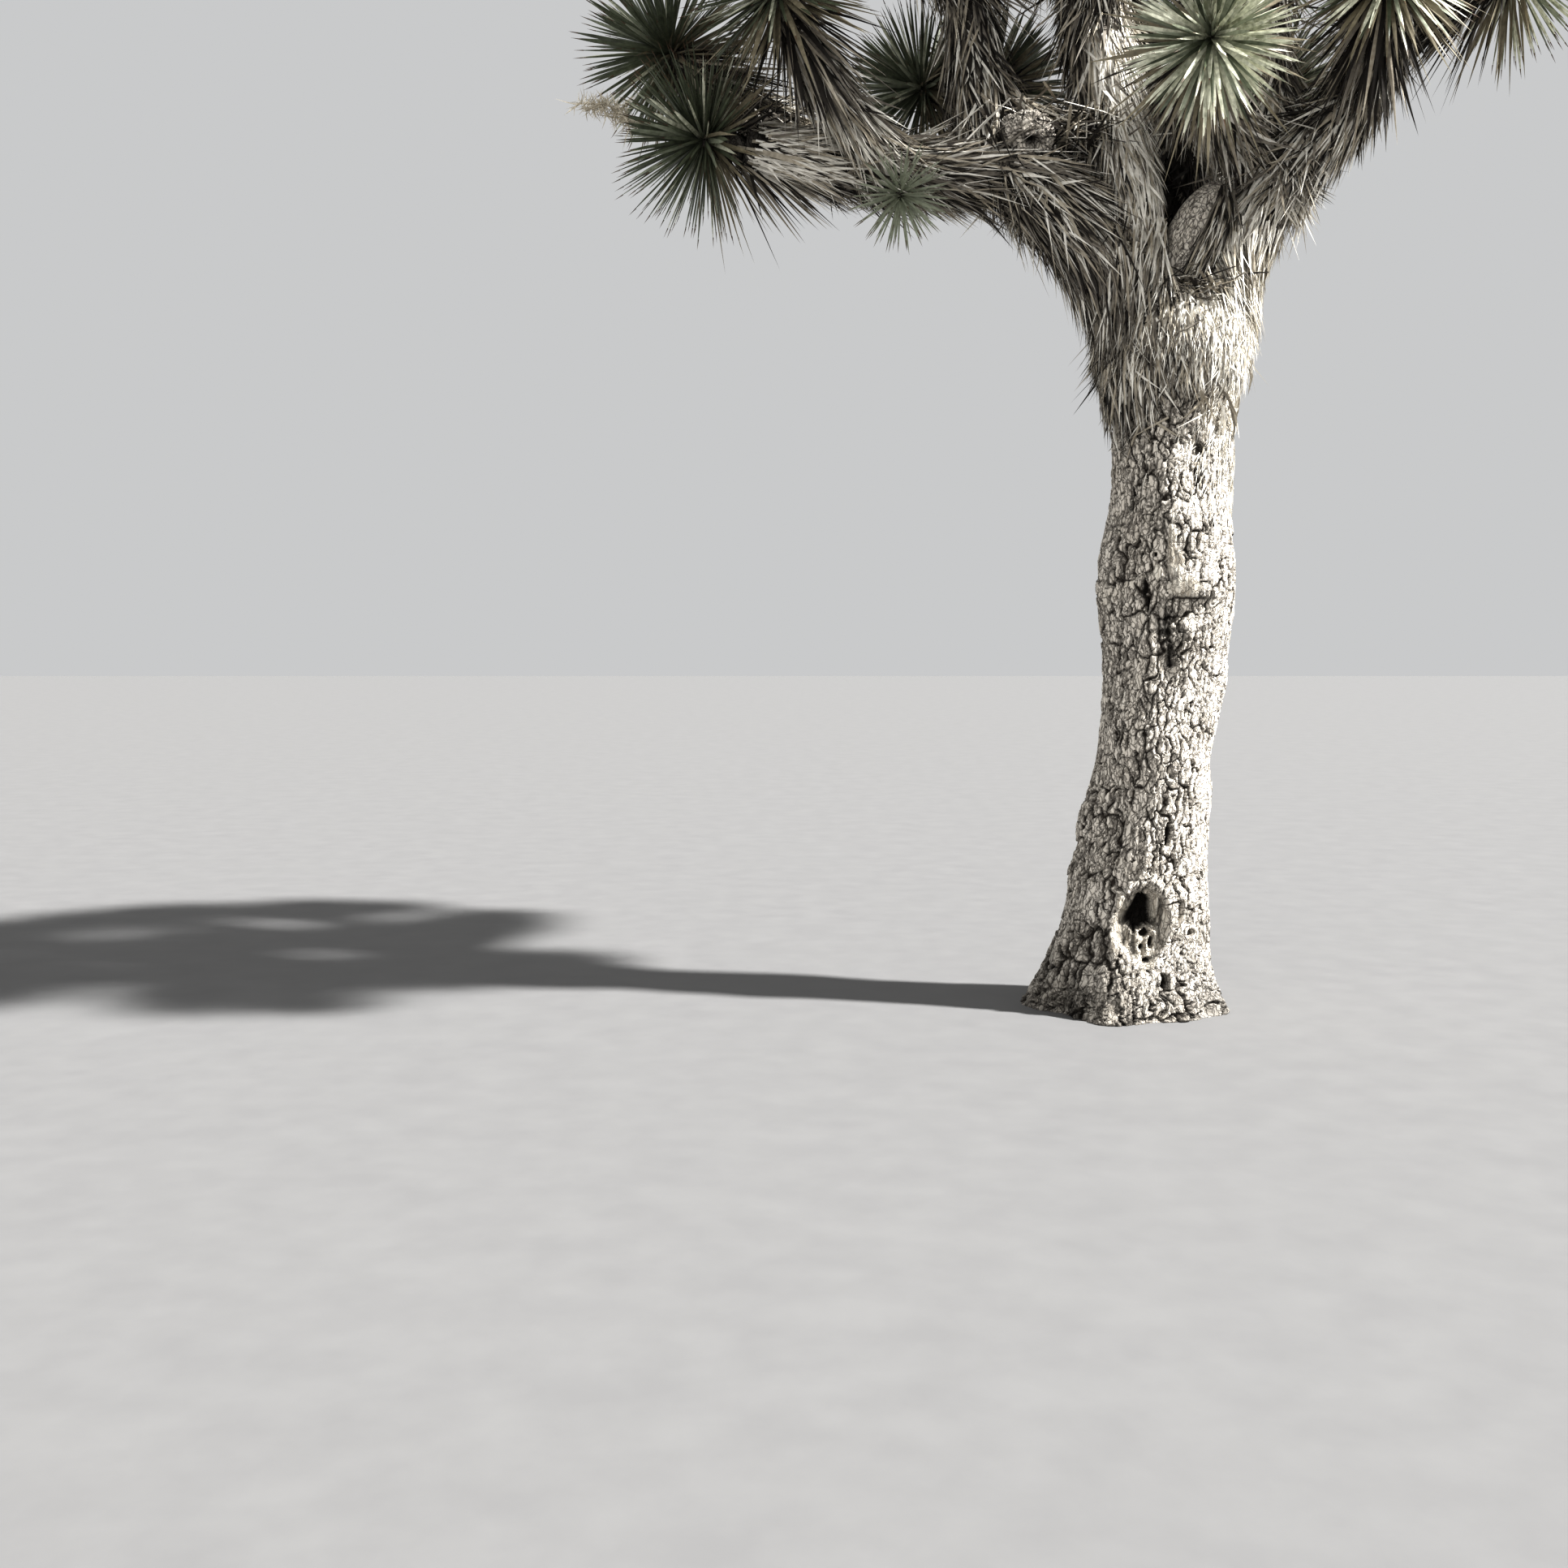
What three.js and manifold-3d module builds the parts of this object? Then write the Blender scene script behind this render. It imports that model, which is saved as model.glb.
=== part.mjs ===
// A Joshua tree: a corky trunk with a flared foot, stout boughs thatched with dead leaves,
// and a ball of dagger leaves, here called a head, at the end of every shoot.
// Millimetres, +Z up. The origin is the centre of the flat cut at ground level.
// Headings are degrees round from +X towards +Y. Climbs are degrees above level.
import * as THREE from "three";
import { mergeVertices } from "three/addons/utils/BufferGeometryUtils.js";
import Module from "manifold-3d";

const wasm = await Module();
wasm.setup();

// Trunk
const TRUNK_TOP = 2500;
const SHAFT_RADIUS = 197;
const FLARE = { depth: 150, height: 320 }; // the foot spreads past the shaft, and the spread dies away
const ROOT_LOBES = { count: 5, share: 0.07, height: 220 };
const BELLY = { height: 1500, depth: 36, spread: 250 }; // a slow swelling of the shaft
const LEAN = { shift: 137, height: 1700, ease: 1.15 }; // the shaft moves towards +X as it rises
const COLLAR = { from: 2030, to: 2330, depth: 62 }; // dead leaves thicken the top
const DOME = 160; // height over which the top rounds off into the fork

// Broad swells of the bark: how deep, how many go round the shaft, and the rise of one full wave
const SWELLS = [
  { depth: 6, round: 3, rise: 900, phase: 0.6 },
  { depth: 5, round: 4, rise: -640, phase: 2.1 },
  { depth: 4, round: 2, rise: 420, phase: 4 },
];

// Single forms on the trunk: height, heading, half sizes and how far each stands out
const MARKS = {
  brow: { z: 1490, heading: -88, width: 105, height: 48, out: 11 },
  under_brow: { z: 1388, heading: -86, width: 110, height: 48, out: -15 },
  fold: { z: 1320, heading: -117, width: 36, height: 110, out: 15 },
  scar: { z: 1265, heading: -97, width: 55, height: 85, out: -9 },
  left_recess: { z: 1757, heading: -152, width: 44, height: 76, out: -22 },
  left_step: { z: 670, heading: -170, width: 85, height: 60, out: 10 },
  left_foot: { z: 440, heading: 177, width: 90, height: 110, out: 12 },
};

const TRUNK_SIDES = 22;
const TRUNK_RINGS = 26;
const HOLLOW = { x: 34, y: -286, z: 322, width: 82, depth: 92, height: 130 }; // rotted pocket, half sizes
const COLLAR_ROWS = 2;
const COLLAR_LEAVES = 10; // dead leaves in each row

// Boughs
const FORK = { height: 2360, ring: 60 }; // the main boughs start on a ring round the trunk's axis
const TAPER = 0.82; // a bough's radius at its tip as a share of that at its foot
const LIMB_SIDES = 8;
const LIMB_RING = 250; // length of bough between its rings of corners
const THATCH_STEP = 200; // length of bough for each dead leaf that stands out of it

// Shoots, which end the boughs, and the twigs that some of them carry
const SHOOT = { length: 290, foot: 74, tip: 58, spread: 40, rise: 0.3 };
const LONE_SHOOT = 165; // a bough that ends in a single shoot goes straight on into it
const TWIG = { length: 270, at: 0.45, spread: 62, taper: 0.85 };
const STEM_SIDES = 5;

// Leaves
const LEAF = { length: 310, width: 54, thickness: 14, widest: 0.17, sunk: 0.05 };
const LEAVES_PER_HEAD = 11;
const HEAD = { depth: 110, above: 0.45, tilt: 122 }; // where its leaves start, and how far back they tilt
const CORE = { radius: 112, length: 132 }; // the packed leaf bases
const DEAD_LEAF = { length: 215, root: 24, sunk: 0.3, splay: 17, sag: 0.25 };
const GOLDEN_ANGLE = 137.508;

// Clearances
const LIMB_GAP = 0.5; // a limb is cut back this far from the one that carries it
const LEAF_GAP = 0.35; // leaves stay this far from every piece but their own

// Each bough: what carries it and how far along, its heading and climb at the foot, how far the
// heading turns and the climb curls up on the way to the tip, its length, its radius at the foot,
// and how many heads each of its shoots bears.
const BOUGHS = {
  left_bough: { on: "trunk", aim: [189, 60], curl: -32, length: 810, radius: 200 },
  left_outer: { on: "left_bough", at: 0.93, aim: [187, -4], curl: 14, length: 930, radius: 125, heads: [1] },
  left_rise: { on: "left_outer", at: 0.4, aim: [215, 21], curl: 36, length: 630, radius: 100, heads: [1] },
  left_back: { on: "left_outer", at: 0.55, aim: [162, 24], curl: 14, length: 710, radius: 84, heads: [1] },
  left_upright: { on: "left_bough", at: 0.94, aim: [140, 61], curl: 25, length: 690, radius: 122 },
  left_shade: {
    on: "left_bough", at: 0.8, aim: [70, 47], turn: 60, curl: -24,
    length: 650, radius: 100, heads: [1, 1],
  },
  centre_bough: { on: "trunk", aim: [180, 73], curl: 10, length: 1120, radius: 165 },
  back_bough: { on: "trunk", aim: [77, 56], curl: 20, length: 1220, radius: 160 },
  right_bough: { on: "trunk", aim: [357, 68], curl: -18, length: 720, radius: 168 },
  right_upper: { on: "right_bough", at: 0.95, aim: [4, 37], curl: 38, length: 610, radius: 128 },
  bright_limb: {
    on: "right_bough", at: 0.8, aim: [201, 40], turn: 62, curl: -44,
    length: 900, radius: 98, heads: [1],
  },
  right_front: { on: "right_upper", at: 0.45, aim: [272, 27], curl: 24, length: 350, radius: 84, heads: [1] },
  right_reach: { on: "right_upper", at: 0.95, aim: [1, 16], curl: 12, length: 330, radius: 92, heads: [1] },
  right_shade: { on: "right_bough", at: 0.85, aim: [89, 60], curl: 15, length: 730, radius: 108 },
  left_crown: { on: "left_upright", aim: [204, 36], curl: 22, length: 780, radius: 98, heads: [2, 2] },
  left_top: { on: "left_upright", aim: [104, 40], curl: 24, length: 800, radius: 98, heads: [1, 1] },
  centre_left: { on: "centre_bough", aim: [208, 58], curl: 8, length: 1020, radius: 96, heads: [2, 2] },
  front_crown: { on: "centre_bough", aim: [268, 32], curl: 24, length: 1000, radius: 104, heads: [2, 2] },
  top_crown: { on: "centre_bough", aim: [30, 76], curl: 8, length: 1060, radius: 110, heads: [1, 1, 1] },
  back_crown: { on: "back_bough", aim: [66, 32], curl: 24, length: 880, radius: 100, heads: [2, 2] },
  back_left: { on: "back_bough", aim: [136, 36], curl: 24, length: 840, radius: 100, heads: [2, 2] },
  back_low: { on: "back_bough", at: 0.5, aim: [52, 18], curl: 30, length: 880, radius: 94, heads: [2] },
  right_crown: { on: "right_upper", aim: [322, 44], curl: 16, length: 730, radius: 98, heads: [1, 1] },
  right_back: { on: "right_upper", aim: [56, 42], curl: 20, length: 780, radius: 98, heads: [2, 2] },
  front_right: { on: "right_upper", at: 0.85, aim: [250, 32], curl: 22, length: 980, radius: 94, heads: [2] },
  shade_crown: { on: "right_shade", aim: [350, 74], curl: 6, length: 760, radius: 92, heads: [3] },
};
const YOUNG_HEAD = { on: "left_outer", at: 0.43, aim: [268, -42], length: 165, leaf: 175, leaves: 9 };

// Bare bark that swells out of a bough, as its centre and half sizes
const SWELLINGS = {
  right_bough: { x: 172, y: -85, z: 2660, width: 85, depth: 100, height: 175 },
  left_bough: { x: -405, y: -130, z: 3030, width: 98, depth: 78, height: 86 },
};

// Seeds, one for each run of chances
const SHOOT_SEED = 20;
const COLLAR_SEED = 77;
const HEAD_SEED = 300;
const THATCH_SEED = 900;

const { degToRad, radToDeg, lerp, smoothstep } = THREE.MathUtils;
const UP = new THREE.Vector3(0, 0, 1);

// A seeded run of numbers from 0 to 1, the same on every machine.
function chanceFrom(seed) {
  let state = seed >>> 0;
  return () => {
    state = (Math.imul(state, 1664525) + 1013904223) >>> 0;
    return state / 2 ** 32;
  };
}

function direction(heading, climb) {
  const level = Math.cos(degToRad(climb));
  const h = degToRad(heading);
  return new THREE.Vector3(Math.cos(h) * level, Math.sin(h) * level, Math.sin(degToRad(climb)));
}

// Turns away from a direction by some degrees, towards a side that is square to it.
function tilted(along, side, degrees) {
  const angle = degToRad(degrees);
  return along.clone().multiplyScalar(Math.cos(angle)).addScaledVector(side, Math.sin(angle));
}

// The trunk's axis leans, its bark swells in and out, and its radius changes, by these rules.
function trunkAxis(z) {
  const rise = Math.min(z / LEAN.height, 1);
  return LEAN.shift * Math.sin((rise * Math.PI) / 2) ** LEAN.ease;
}

function barkRelief(z, angle, shaft) {
  let relief = 0;
  for (const { depth, round, rise, phase } of SWELLS) {
    relief += depth * Math.sin(round * angle + (2 * Math.PI * z) / rise + phase);
  }
  for (const mark of Object.values(MARKS)) {
    const turn = angle - degToRad(mark.heading);
    const across = Math.atan2(Math.sin(turn), Math.cos(turn)) * shaft;
    relief += mark.out * Math.exp(-((across / mark.width) ** 2) - ((z - mark.z) / mark.height) ** 2);
  }
  return relief;
}

function trunkRadius(z, angle) {
  const flare = FLARE.depth * Math.exp(-z / FLARE.height);
  const belly = BELLY.depth * Math.exp(-(((z - BELLY.height) / BELLY.spread) ** 2));
  const collar = COLLAR.depth * smoothstep(z, COLLAR.from, COLLAR.to);
  const fade = ROOT_LOBES.share * Math.exp(-z / ROOT_LOBES.height);
  const lobes = 1 + fade * Math.cos(ROOT_LOBES.count * (angle - Math.PI));
  const past = Math.max(0, z - (TRUNK_TOP - DOME)) / DOME;
  const shaft = (SHAFT_RADIUS + flare + belly + collar) * lobes;
  return (shaft + barkRelief(z, angle, shaft)) * Math.sqrt(1 - 0.75 * past ** 2);
}

function onTrunk(z, angle, share) {
  const radius = trunkRadius(z, angle) * share;
  return new THREE.Vector3(trunkAxis(z) + radius * Math.cos(angle), radius * Math.sin(angle), z);
}

// A limb's centre line is one smooth bend from its first direction to its last.
function growLimb(name, start, { aim, turn = 0, curl = 0, length, radius, tip = radius * TAPER }) {
  const middle = start.clone().addScaledVector(direction(...aim), length / 2);
  const last = direction(aim[0] + turn, aim[1] + curl);
  const end = middle.clone().addScaledVector(last, length / 2);
  const line = new THREE.QuadraticBezierCurve3(start, middle, end);
  return { name, line, aim, turn, length, radius, tip };
}

function straightLimb(name, start, along, length, radius, tip) {
  const aim = [radToDeg(Math.atan2(along.y, along.x)), radToDeg(Math.asin(along.z))];
  return growLimb(name, start, { aim, length, radius, tip });
}

// A place on a limb's centre line, with the limb's own directions there.
function placeOn(limb, share) {
  const centre = limb.line.getPoint(share);
  const along = limb.line.getTangent(share);
  const side = direction(limb.aim[0] + limb.turn * share + 90, 0);
  side.addScaledVector(along, -side.dot(along)).normalize();
  const over = new THREE.Vector3().crossVectors(along, side);
  return { centre, along, side, over, radius: lerp(limb.radius, limb.tip, share) };
}

function outward(place, degrees) {
  return tilted(place.side, place.over, degrees);
}

// The skeleton: boughs in order, then the shoots that their tips fork into.
function startOf(bough, limbs) {
  if (bough.on !== "trunk") return limbs.get(bough.on).line.getPoint(bough.at ?? 1);
  const ring = direction(bough.aim[0], 0).multiplyScalar(FORK.ring);
  return ring.add(new THREE.Vector3(trunkAxis(FORK.height), 0, FORK.height));
}

function growTwig(stem, side) {
  const place = placeOn(stem, TWIG.at);
  const along = tilted(place.along, outward(place, side), TWIG.spread);
  return straightLimb(stem.name, place.centre, along, TWIG.length, SHOOT.tip, SHOOT.tip * TWIG.taper);
}

function headOn(stem, size, leaves) {
  const { centre, along } = placeOn(stem, 1);
  return { centre, along, size, leaves };
}

function growShoots(limb, heads, chance) {
  const place = placeOn(limb, 1);
  const alone = heads.length === 1;
  const name = limb.name.replace(/_(bough|limb)$/, "") + "_head";
  const phase = 360 * chance();
  return heads.map((count, k) => {
    const spread = alone ? 0 : SHOOT.spread + 8 * (chance() - 0.5);
    const along = tilted(place.along, outward(place, phase + (360 * k) / heads.length), spread);
    if (!alone) along.addScaledVector(UP, SHOOT.rise).normalize();
    const length = alone ? LONE_SHOOT : SHOOT.length * (0.85 + 0.3 * chance());
    const label = alone ? name : `${name}_${k + 1}`;
    const stem = straightLimb(label, place.centre.clone(), along, length, SHOOT.foot, SHOOT.tip);
    const side = 360 * chance();
    const stems = [stem];
    for (let twig = 1; twig < count; twig++) stems.push(growTwig(stem, side + (360 * twig) / count));
    return { name: label, stems, heads: stems.map((each) => headOn(each, 1, LEAVES_PER_HEAD)) };
  });
}

function growYoungHead(limbs) {
  const start = startOf(YOUNG_HEAD, limbs);
  const size = YOUNG_HEAD.leaf / LEAF.length;
  const along = direction(...YOUNG_HEAD.aim);
  const [foot, tip] = [SHOOT.foot * size, SHOOT.tip * size];
  const stem = straightLimb("young_head", start, along, YOUNG_HEAD.length, foot, tip);
  return { name: stem.name, stems: [stem], heads: [headOn(stem, size, YOUNG_HEAD.leaves)] };
}

// A closed three.js geometry as a manifold-3d solid, and back.
function solidOf(geometry) {
  geometry.deleteAttribute("normal");
  geometry.deleteAttribute("uv");
  const merged = mergeVertices(geometry, 1e-3);
  const vertProperties = merged.attributes.position.array;
  const triVerts = new Uint32Array(merged.index.array);
  return new wasm.Manifold(new wasm.Mesh({ numProp: 3, vertProperties, triVerts }));
}

function geometryOf(solid) {
  const mesh = solid.getMesh();
  return new THREE.BufferGeometry()
    .setAttribute("position", new THREE.BufferAttribute(mesh.vertProperties, 3))
    .setIndex(new THREE.BufferAttribute(mesh.triVerts, 1));
}

// Fuses pieces, then keeps only the outer shell of the largest body.
function fused(pieces) {
  const bodies = wasm.Manifold.union(pieces).decompose();
  return bodies.reduce((best, body) => (body.volume() > best.volume() ? body : best));
}

// A cylinder whose corners go where the rule puts them, by share along it, angle round it in
// radians, and share of the way out from its axis.
function lofted(sides, rings, rule) {
  const geometry = new THREE.CylinderGeometry(1, 1, 1, sides, rings).rotateX(Math.PI / 2);
  const position = geometry.getAttribute("position");
  const corner = new THREE.Vector3();
  for (let i = 0; i < position.count; i++) {
    corner.fromBufferAttribute(position, i);
    const out = Math.hypot(corner.x, corner.y) < 0.5 ? 0 : 1;
    const moved = rule(corner.z + 0.5, Math.atan2(corner.y, corner.x), out);
    position.setXYZ(i, moved.x, moved.y, moved.z);
  }
  return solidOf(geometry);
}

// Each solid can be made a little larger all round, to cut the next one clear of it.
function trunkSolid(grow) {
  return lofted(TRUNK_SIDES, TRUNK_RINGS, (share, angle, out) => {
    const z = share * TRUNK_TOP;
    const wider = 1 + grow / trunkRadius(z, angle);
    return onTrunk(z, angle, wider * out).addScaledVector(UP, share === 1 ? grow : 0);
  });
}

function limbSolid(limb, sides, grow) {
  const rings = Math.max(1, Math.round(limb.length / LIMB_RING));
  return lofted(sides, rings, (share, angle, out) => {
    const place = placeOn(limb, share);
    const past = (share === 1) - (share === 0);
    return place.centre
      .addScaledVector(outward(place, radToDeg(angle)), (place.radius + grow) * out)
      .addScaledVector(place.along, past * grow);
  });
}

function swellingSolid({ x, y, z, width, depth, height }, grow) {
  const ball = new THREE.IcosahedronGeometry(1, 1).scale(width + grow, depth + grow, height + grow);
  return solidOf(ball.translate(x, y, z));
}

// Turns a geometry that stands along +Y to point along a direction from a root.
function aimed(geometry, root, along, twist = 0) {
  const turn = new THREE.Quaternion().setFromUnitVectors(new THREE.Vector3(0, 1, 0), along);
  geometry.rotateY(degToRad(twist)).applyQuaternion(turn).translate(root.x, root.y, root.z);
  return solidOf(geometry);
}

function coreSolid(head, grow) {
  const radius = CORE.radius * head.size + grow;
  const core = new THREE.IcosahedronGeometry(1, 0).scale(radius, CORE.length * head.size + grow, radius);
  return aimed(core, head.centre, head.along);
}

// A leaf has eight faces: four from its root to its widest place, and four from there to its point.
function leafSolid(root, along, twist, size, length) {
  const leaf = new THREE.OctahedronGeometry(1, 0);
  const position = leaf.getAttribute("position");
  for (let i = 0; i < position.count; i++) {
    const y = position.getY(i);
    const reach = y < 0 ? LEAF.widest + LEAF.sunk : 1 - LEAF.widest;
    position.setY(i, (y * reach + LEAF.widest) * length);
  }
  leaf.scale((LEAF.width * size) / 2, 1, (LEAF.thickness * size) / 2);
  return aimed(leaf, root, along, twist);
}

// The leaves of one head are spread evenly over a ball round the shoot's tip.
function headLeaves(head, seed) {
  const chance = chanceFrom(seed);
  const side = new THREE.Vector3().crossVectors(UP, head.along).normalize();
  const over = new THREE.Vector3().crossVectors(head.along, side);
  const phase = 360 * chance();
  const lowest = Math.cos(degToRad(HEAD.tilt));
  return Array.from({ length: head.leaves }, (_, i) => {
    const tilt = radToDeg(Math.acos(lerp(1, lowest, (i + 0.4) / head.leaves)));
    const round = phase + i * GOLDEN_ANGLE;
    const along = tilted(head.along, tilted(side, over, round), tilt);
    const back = HEAD.depth * head.size * (HEAD.above - tilt / HEAD.tilt);
    const root = head.centre.clone().addScaledVector(head.along, back);
    const length = LEAF.length * head.size * (0.92 + 0.16 * chance());
    return leafSolid(root, along, round, head.size, length);
  });
}

function deadLeafSolid(root, along, length) {
  const leaf = new THREE.ConeGeometry(DEAD_LEAF.root, length, 3);
  return aimed(leaf.translate(0, length * (0.5 - DEAD_LEAF.sunk), 0), root, along);
}

// Dead leaves lie back along a bough, a little splayed, and sag on its underside.
function thatch(limb, seed) {
  const chance = chanceFrom(seed);
  const count = Math.round(limb.length / THATCH_STEP);
  return Array.from({ length: count }, (_, i) => {
    const place = placeOn(limb, lerp(0.2, 1, (i + 0.5) / count));
    const out = outward(place, i * GOLDEN_ANGLE + 40 * chance());
    const along = tilted(place.along.negate(), out, DEAD_LEAF.splay + 10 * chance());
    along.z -= DEAD_LEAF.sag * Math.max(0, -out.z);
    const root = place.centre.addScaledVector(out, place.radius * 0.93);
    return deadLeafSolid(root, along.normalize(), DEAD_LEAF.length * (0.85 + 0.3 * chance()));
  });
}

// The collar of dead leaves hangs round the top of the trunk.
function collarLeaves(seed) {
  const chance = chanceFrom(seed);
  return Array.from({ length: COLLAR_ROWS * COLLAR_LEAVES }, (_, i) => {
    const row = Math.floor(i / COLLAR_LEAVES);
    const z = COLLAR.to - 20 + 110 * row + 60 * chance();
    const angle = (360 * (i + row / 2)) / COLLAR_LEAVES + 14 * chance();
    const along = tilted(UP.clone().negate(), direction(angle, 0), 5 + 8 * chance());
    const root = onTrunk(z, degToRad(angle), 0.96);
    return deadLeafSolid(root, along, DEAD_LEAF.length * (1.15 + 0.4 * chance()));
  });
}

const limbs = new Map();
for (const [name, bough] of Object.entries(BOUGHS)) {
  limbs.set(name, growLimb(name, startOf(bough, limbs), bough));
}
const shootChance = chanceFrom(SHOOT_SEED);
const masses = [];
for (const [name, bough] of Object.entries(BOUGHS)) {
  if (bough.heads) masses.push(...growShoots(limbs.get(name), bough.heads, shootChance));
}
masses.push(growYoungHead(limbs));

// Every piece without its leaves, each cut clear of those that were made before it
const pieces = new Map();
const cutters = [];

function boxesMeet(a, b, margin) {
  return [0, 1, 2].every((k) => a.min[k] - margin < b.max[k] && b.min[k] - margin < a.max[k]);
}

function addPiece(name, shape) {
  const solid = shape(0);
  const near = cutters.filter((cutter) => boxesMeet(solid.boundingBox(), cutter.boundingBox(), 1));
  pieces.set(name, fused([near.reduce((left, cutter) => left.subtract(cutter), solid)]));
  cutters.push(shape(LIMB_GAP));
}

addPiece("trunk", (grow) => trunkSolid(grow).subtract(swellingSolid(HOLLOW, -grow)));
for (const [name, limb] of limbs) {
  addPiece(name, (grow) => {
    const swelling = SWELLINGS[name] ? [swellingSolid(SWELLINGS[name], grow)] : [];
    return fused([limbSolid(limb, LIMB_SIDES, grow), ...swelling]);
  });
}
for (const mass of masses) {
  addPiece(mass.name, (grow) => {
    const stems = mass.stems.map((stem) => limbSolid(stem, STEM_SIDES, grow));
    return fused([...stems, ...mass.heads.map((head) => coreSolid(head, grow))]);
  });
}

// A leaf joins its own piece where it stands clear of every other piece.
function standsClear(name, leaf) {
  const box = leaf.boundingBox();
  for (const [other, solid] of pieces) {
    const near = other !== name && boxesMeet(box, solid.boundingBox(), 1);
    if (near && leaf.minGap(solid, 1) < LEAF_GAP) return false;
  }
  return box.min[2] > 0;
}

function addLeaves(name, leaves) {
  const kept = leaves.filter((leaf) => standsClear(name, leaf));
  pieces.set(name, fused([pieces.get(name), ...kept]));
}

// A live leaf also keeps to its own mass's space: no other mass has a head nearer to its middle.
function keepsToSpace(mass, leaf) {
  const box = leaf.boundingBox();
  const middle = new THREE.Vector3(...box.min).add(new THREE.Vector3(...box.max)).divideScalar(2);
  const nearest = (heads) => Math.min(...heads.map((head) => head.centre.distanceTo(middle)));
  const others = masses.filter((other) => other !== mass).flatMap((other) => other.heads);
  return nearest(mass.heads) < nearest(others);
}

masses.forEach((mass, m) => {
  const leaves = mass.heads.flatMap((head, h) => headLeaves(head, HEAD_SEED + 17 * m + h));
  addLeaves(mass.name, leaves.filter((leaf) => keepsToSpace(mass, leaf)));
});
addLeaves("trunk", collarLeaves(COLLAR_SEED));
[...limbs.values()].forEach((limb, k) => addLeaves(limb.name, thatch(limb, THATCH_SEED + k)));

// The scene graph: one named mesh for the trunk, for each bough and for each mass of leaves.
const bark = new THREE.MeshStandardMaterial({ color: 0x8f8676, roughness: 0.95, metalness: 0 });
const deadLeaves = new THREE.MeshStandardMaterial({ color: 0x7d7465, roughness: 0.9, metalness: 0 });
const liveLeaves = new THREE.MeshStandardMaterial({ color: 0x4d5a3f, roughness: 0.55, metalness: 0 });

function piece(name, material) {
  const mesh = new THREE.Mesh(geometryOf(pieces.get(name)), material);
  mesh.name = name;
  return mesh;
}

const tree = new THREE.Group();
const crown = new THREE.Group();
tree.add(piece("trunk", bark), crown);
for (const name of limbs.keys()) crown.add(piece(name, deadLeaves));
for (const mass of masses) crown.add(piece(mass.name, liveLeaves));

export default tree;
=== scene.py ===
# %% [markdown]
# # A Joshua tree
#
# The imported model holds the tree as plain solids: a corky trunk, boughs, and one mass for the
# balls of dagger leaves at the end of each bough. This lesson dresses it. The same rule that
# grew the solids grows the skeleton again here, so that bark, dead leaves and live leaves all
# sit where the solids are, and each mass keeps its place when it is looked at from any side.
#
# Metres, +Z up. The origin is the centre of the flat cut at ground level. Headings are degrees
# round from +X towards +Y, and climbs are degrees above level.

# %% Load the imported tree
import math

import bmesh
import bpy
import numpy as np
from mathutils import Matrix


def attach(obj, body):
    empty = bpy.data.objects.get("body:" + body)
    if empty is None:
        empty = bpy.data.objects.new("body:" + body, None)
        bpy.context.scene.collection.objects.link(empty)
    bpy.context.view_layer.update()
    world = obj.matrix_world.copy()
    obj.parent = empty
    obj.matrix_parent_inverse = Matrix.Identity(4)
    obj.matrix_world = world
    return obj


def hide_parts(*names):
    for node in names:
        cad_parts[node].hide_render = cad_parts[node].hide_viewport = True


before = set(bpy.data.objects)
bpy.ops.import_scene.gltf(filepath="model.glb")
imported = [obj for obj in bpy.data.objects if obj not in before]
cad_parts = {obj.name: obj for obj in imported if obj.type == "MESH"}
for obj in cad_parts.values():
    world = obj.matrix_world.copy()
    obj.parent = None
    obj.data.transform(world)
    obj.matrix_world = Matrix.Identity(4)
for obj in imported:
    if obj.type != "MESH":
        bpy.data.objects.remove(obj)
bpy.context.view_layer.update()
print("solids:", len(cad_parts))

# %% [markdown]
# ## The skeleton
#
# The trunk is a leaning column whose radius follows a few smooth terms: a shaft, a flare at the
# foot, a slow belly, a collar at the top, broad swells that wind round it, and single marks
# such as the brow over a ledge. A bough is one smooth bend from its first direction to its last.
# Both could be drawn as curves by hand, but a rule with named sizes lets the bark, the thatch
# and the heads all ask it where they belong.

# %% The trunk's rule
TRUNK_TOP = 2.5
SHAFT_RADIUS = 0.197
FLARE = {"depth": 0.15, "height": 0.32}
ROOT_LOBES = {"count": 5, "share": 0.07, "height": 0.22}
BELLY = {"height": 1.5, "depth": 0.036, "spread": 0.25}
LEAN = {"shift": 0.137, "height": 1.7, "ease": 1.15}
COLLAR = {"from": 2.03, "to": 2.33, "depth": 0.062}
DOME = 0.16
SWELLS = ((0.006, 3, 0.9, 0.6), (0.005, 4, -0.64, 2.1), (0.004, 2, 0.42, 4))
MARKS = {
    "brow": dict(z=1.49, heading=-88, width=0.105, height=0.048, out=0.011),
    "under_brow": dict(z=1.388, heading=-86, width=0.11, height=0.048, out=-0.015),
    "fold": dict(z=1.32, heading=-117, width=0.036, height=0.11, out=0.015),
    "scar": dict(z=1.265, heading=-97, width=0.055, height=0.085, out=-0.009),
    "left_recess": dict(z=1.757, heading=-152, width=0.044, height=0.076, out=-0.022),
    "left_step": dict(z=0.67, heading=-170, width=0.085, height=0.06, out=0.01),
    "left_foot": dict(z=0.44, heading=177, width=0.09, height=0.11, out=0.012),
}


def smoothstep(x, low, high):
    t = np.clip((x - low) / (high - low), 0, 1)
    return t * t * (3 - 2 * t)


def trunk_axis(z):
    rise = np.minimum(np.asarray(z) / LEAN["height"], 1)
    return LEAN["shift"] * np.sin(rise * np.pi / 2) ** LEAN["ease"]


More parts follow.
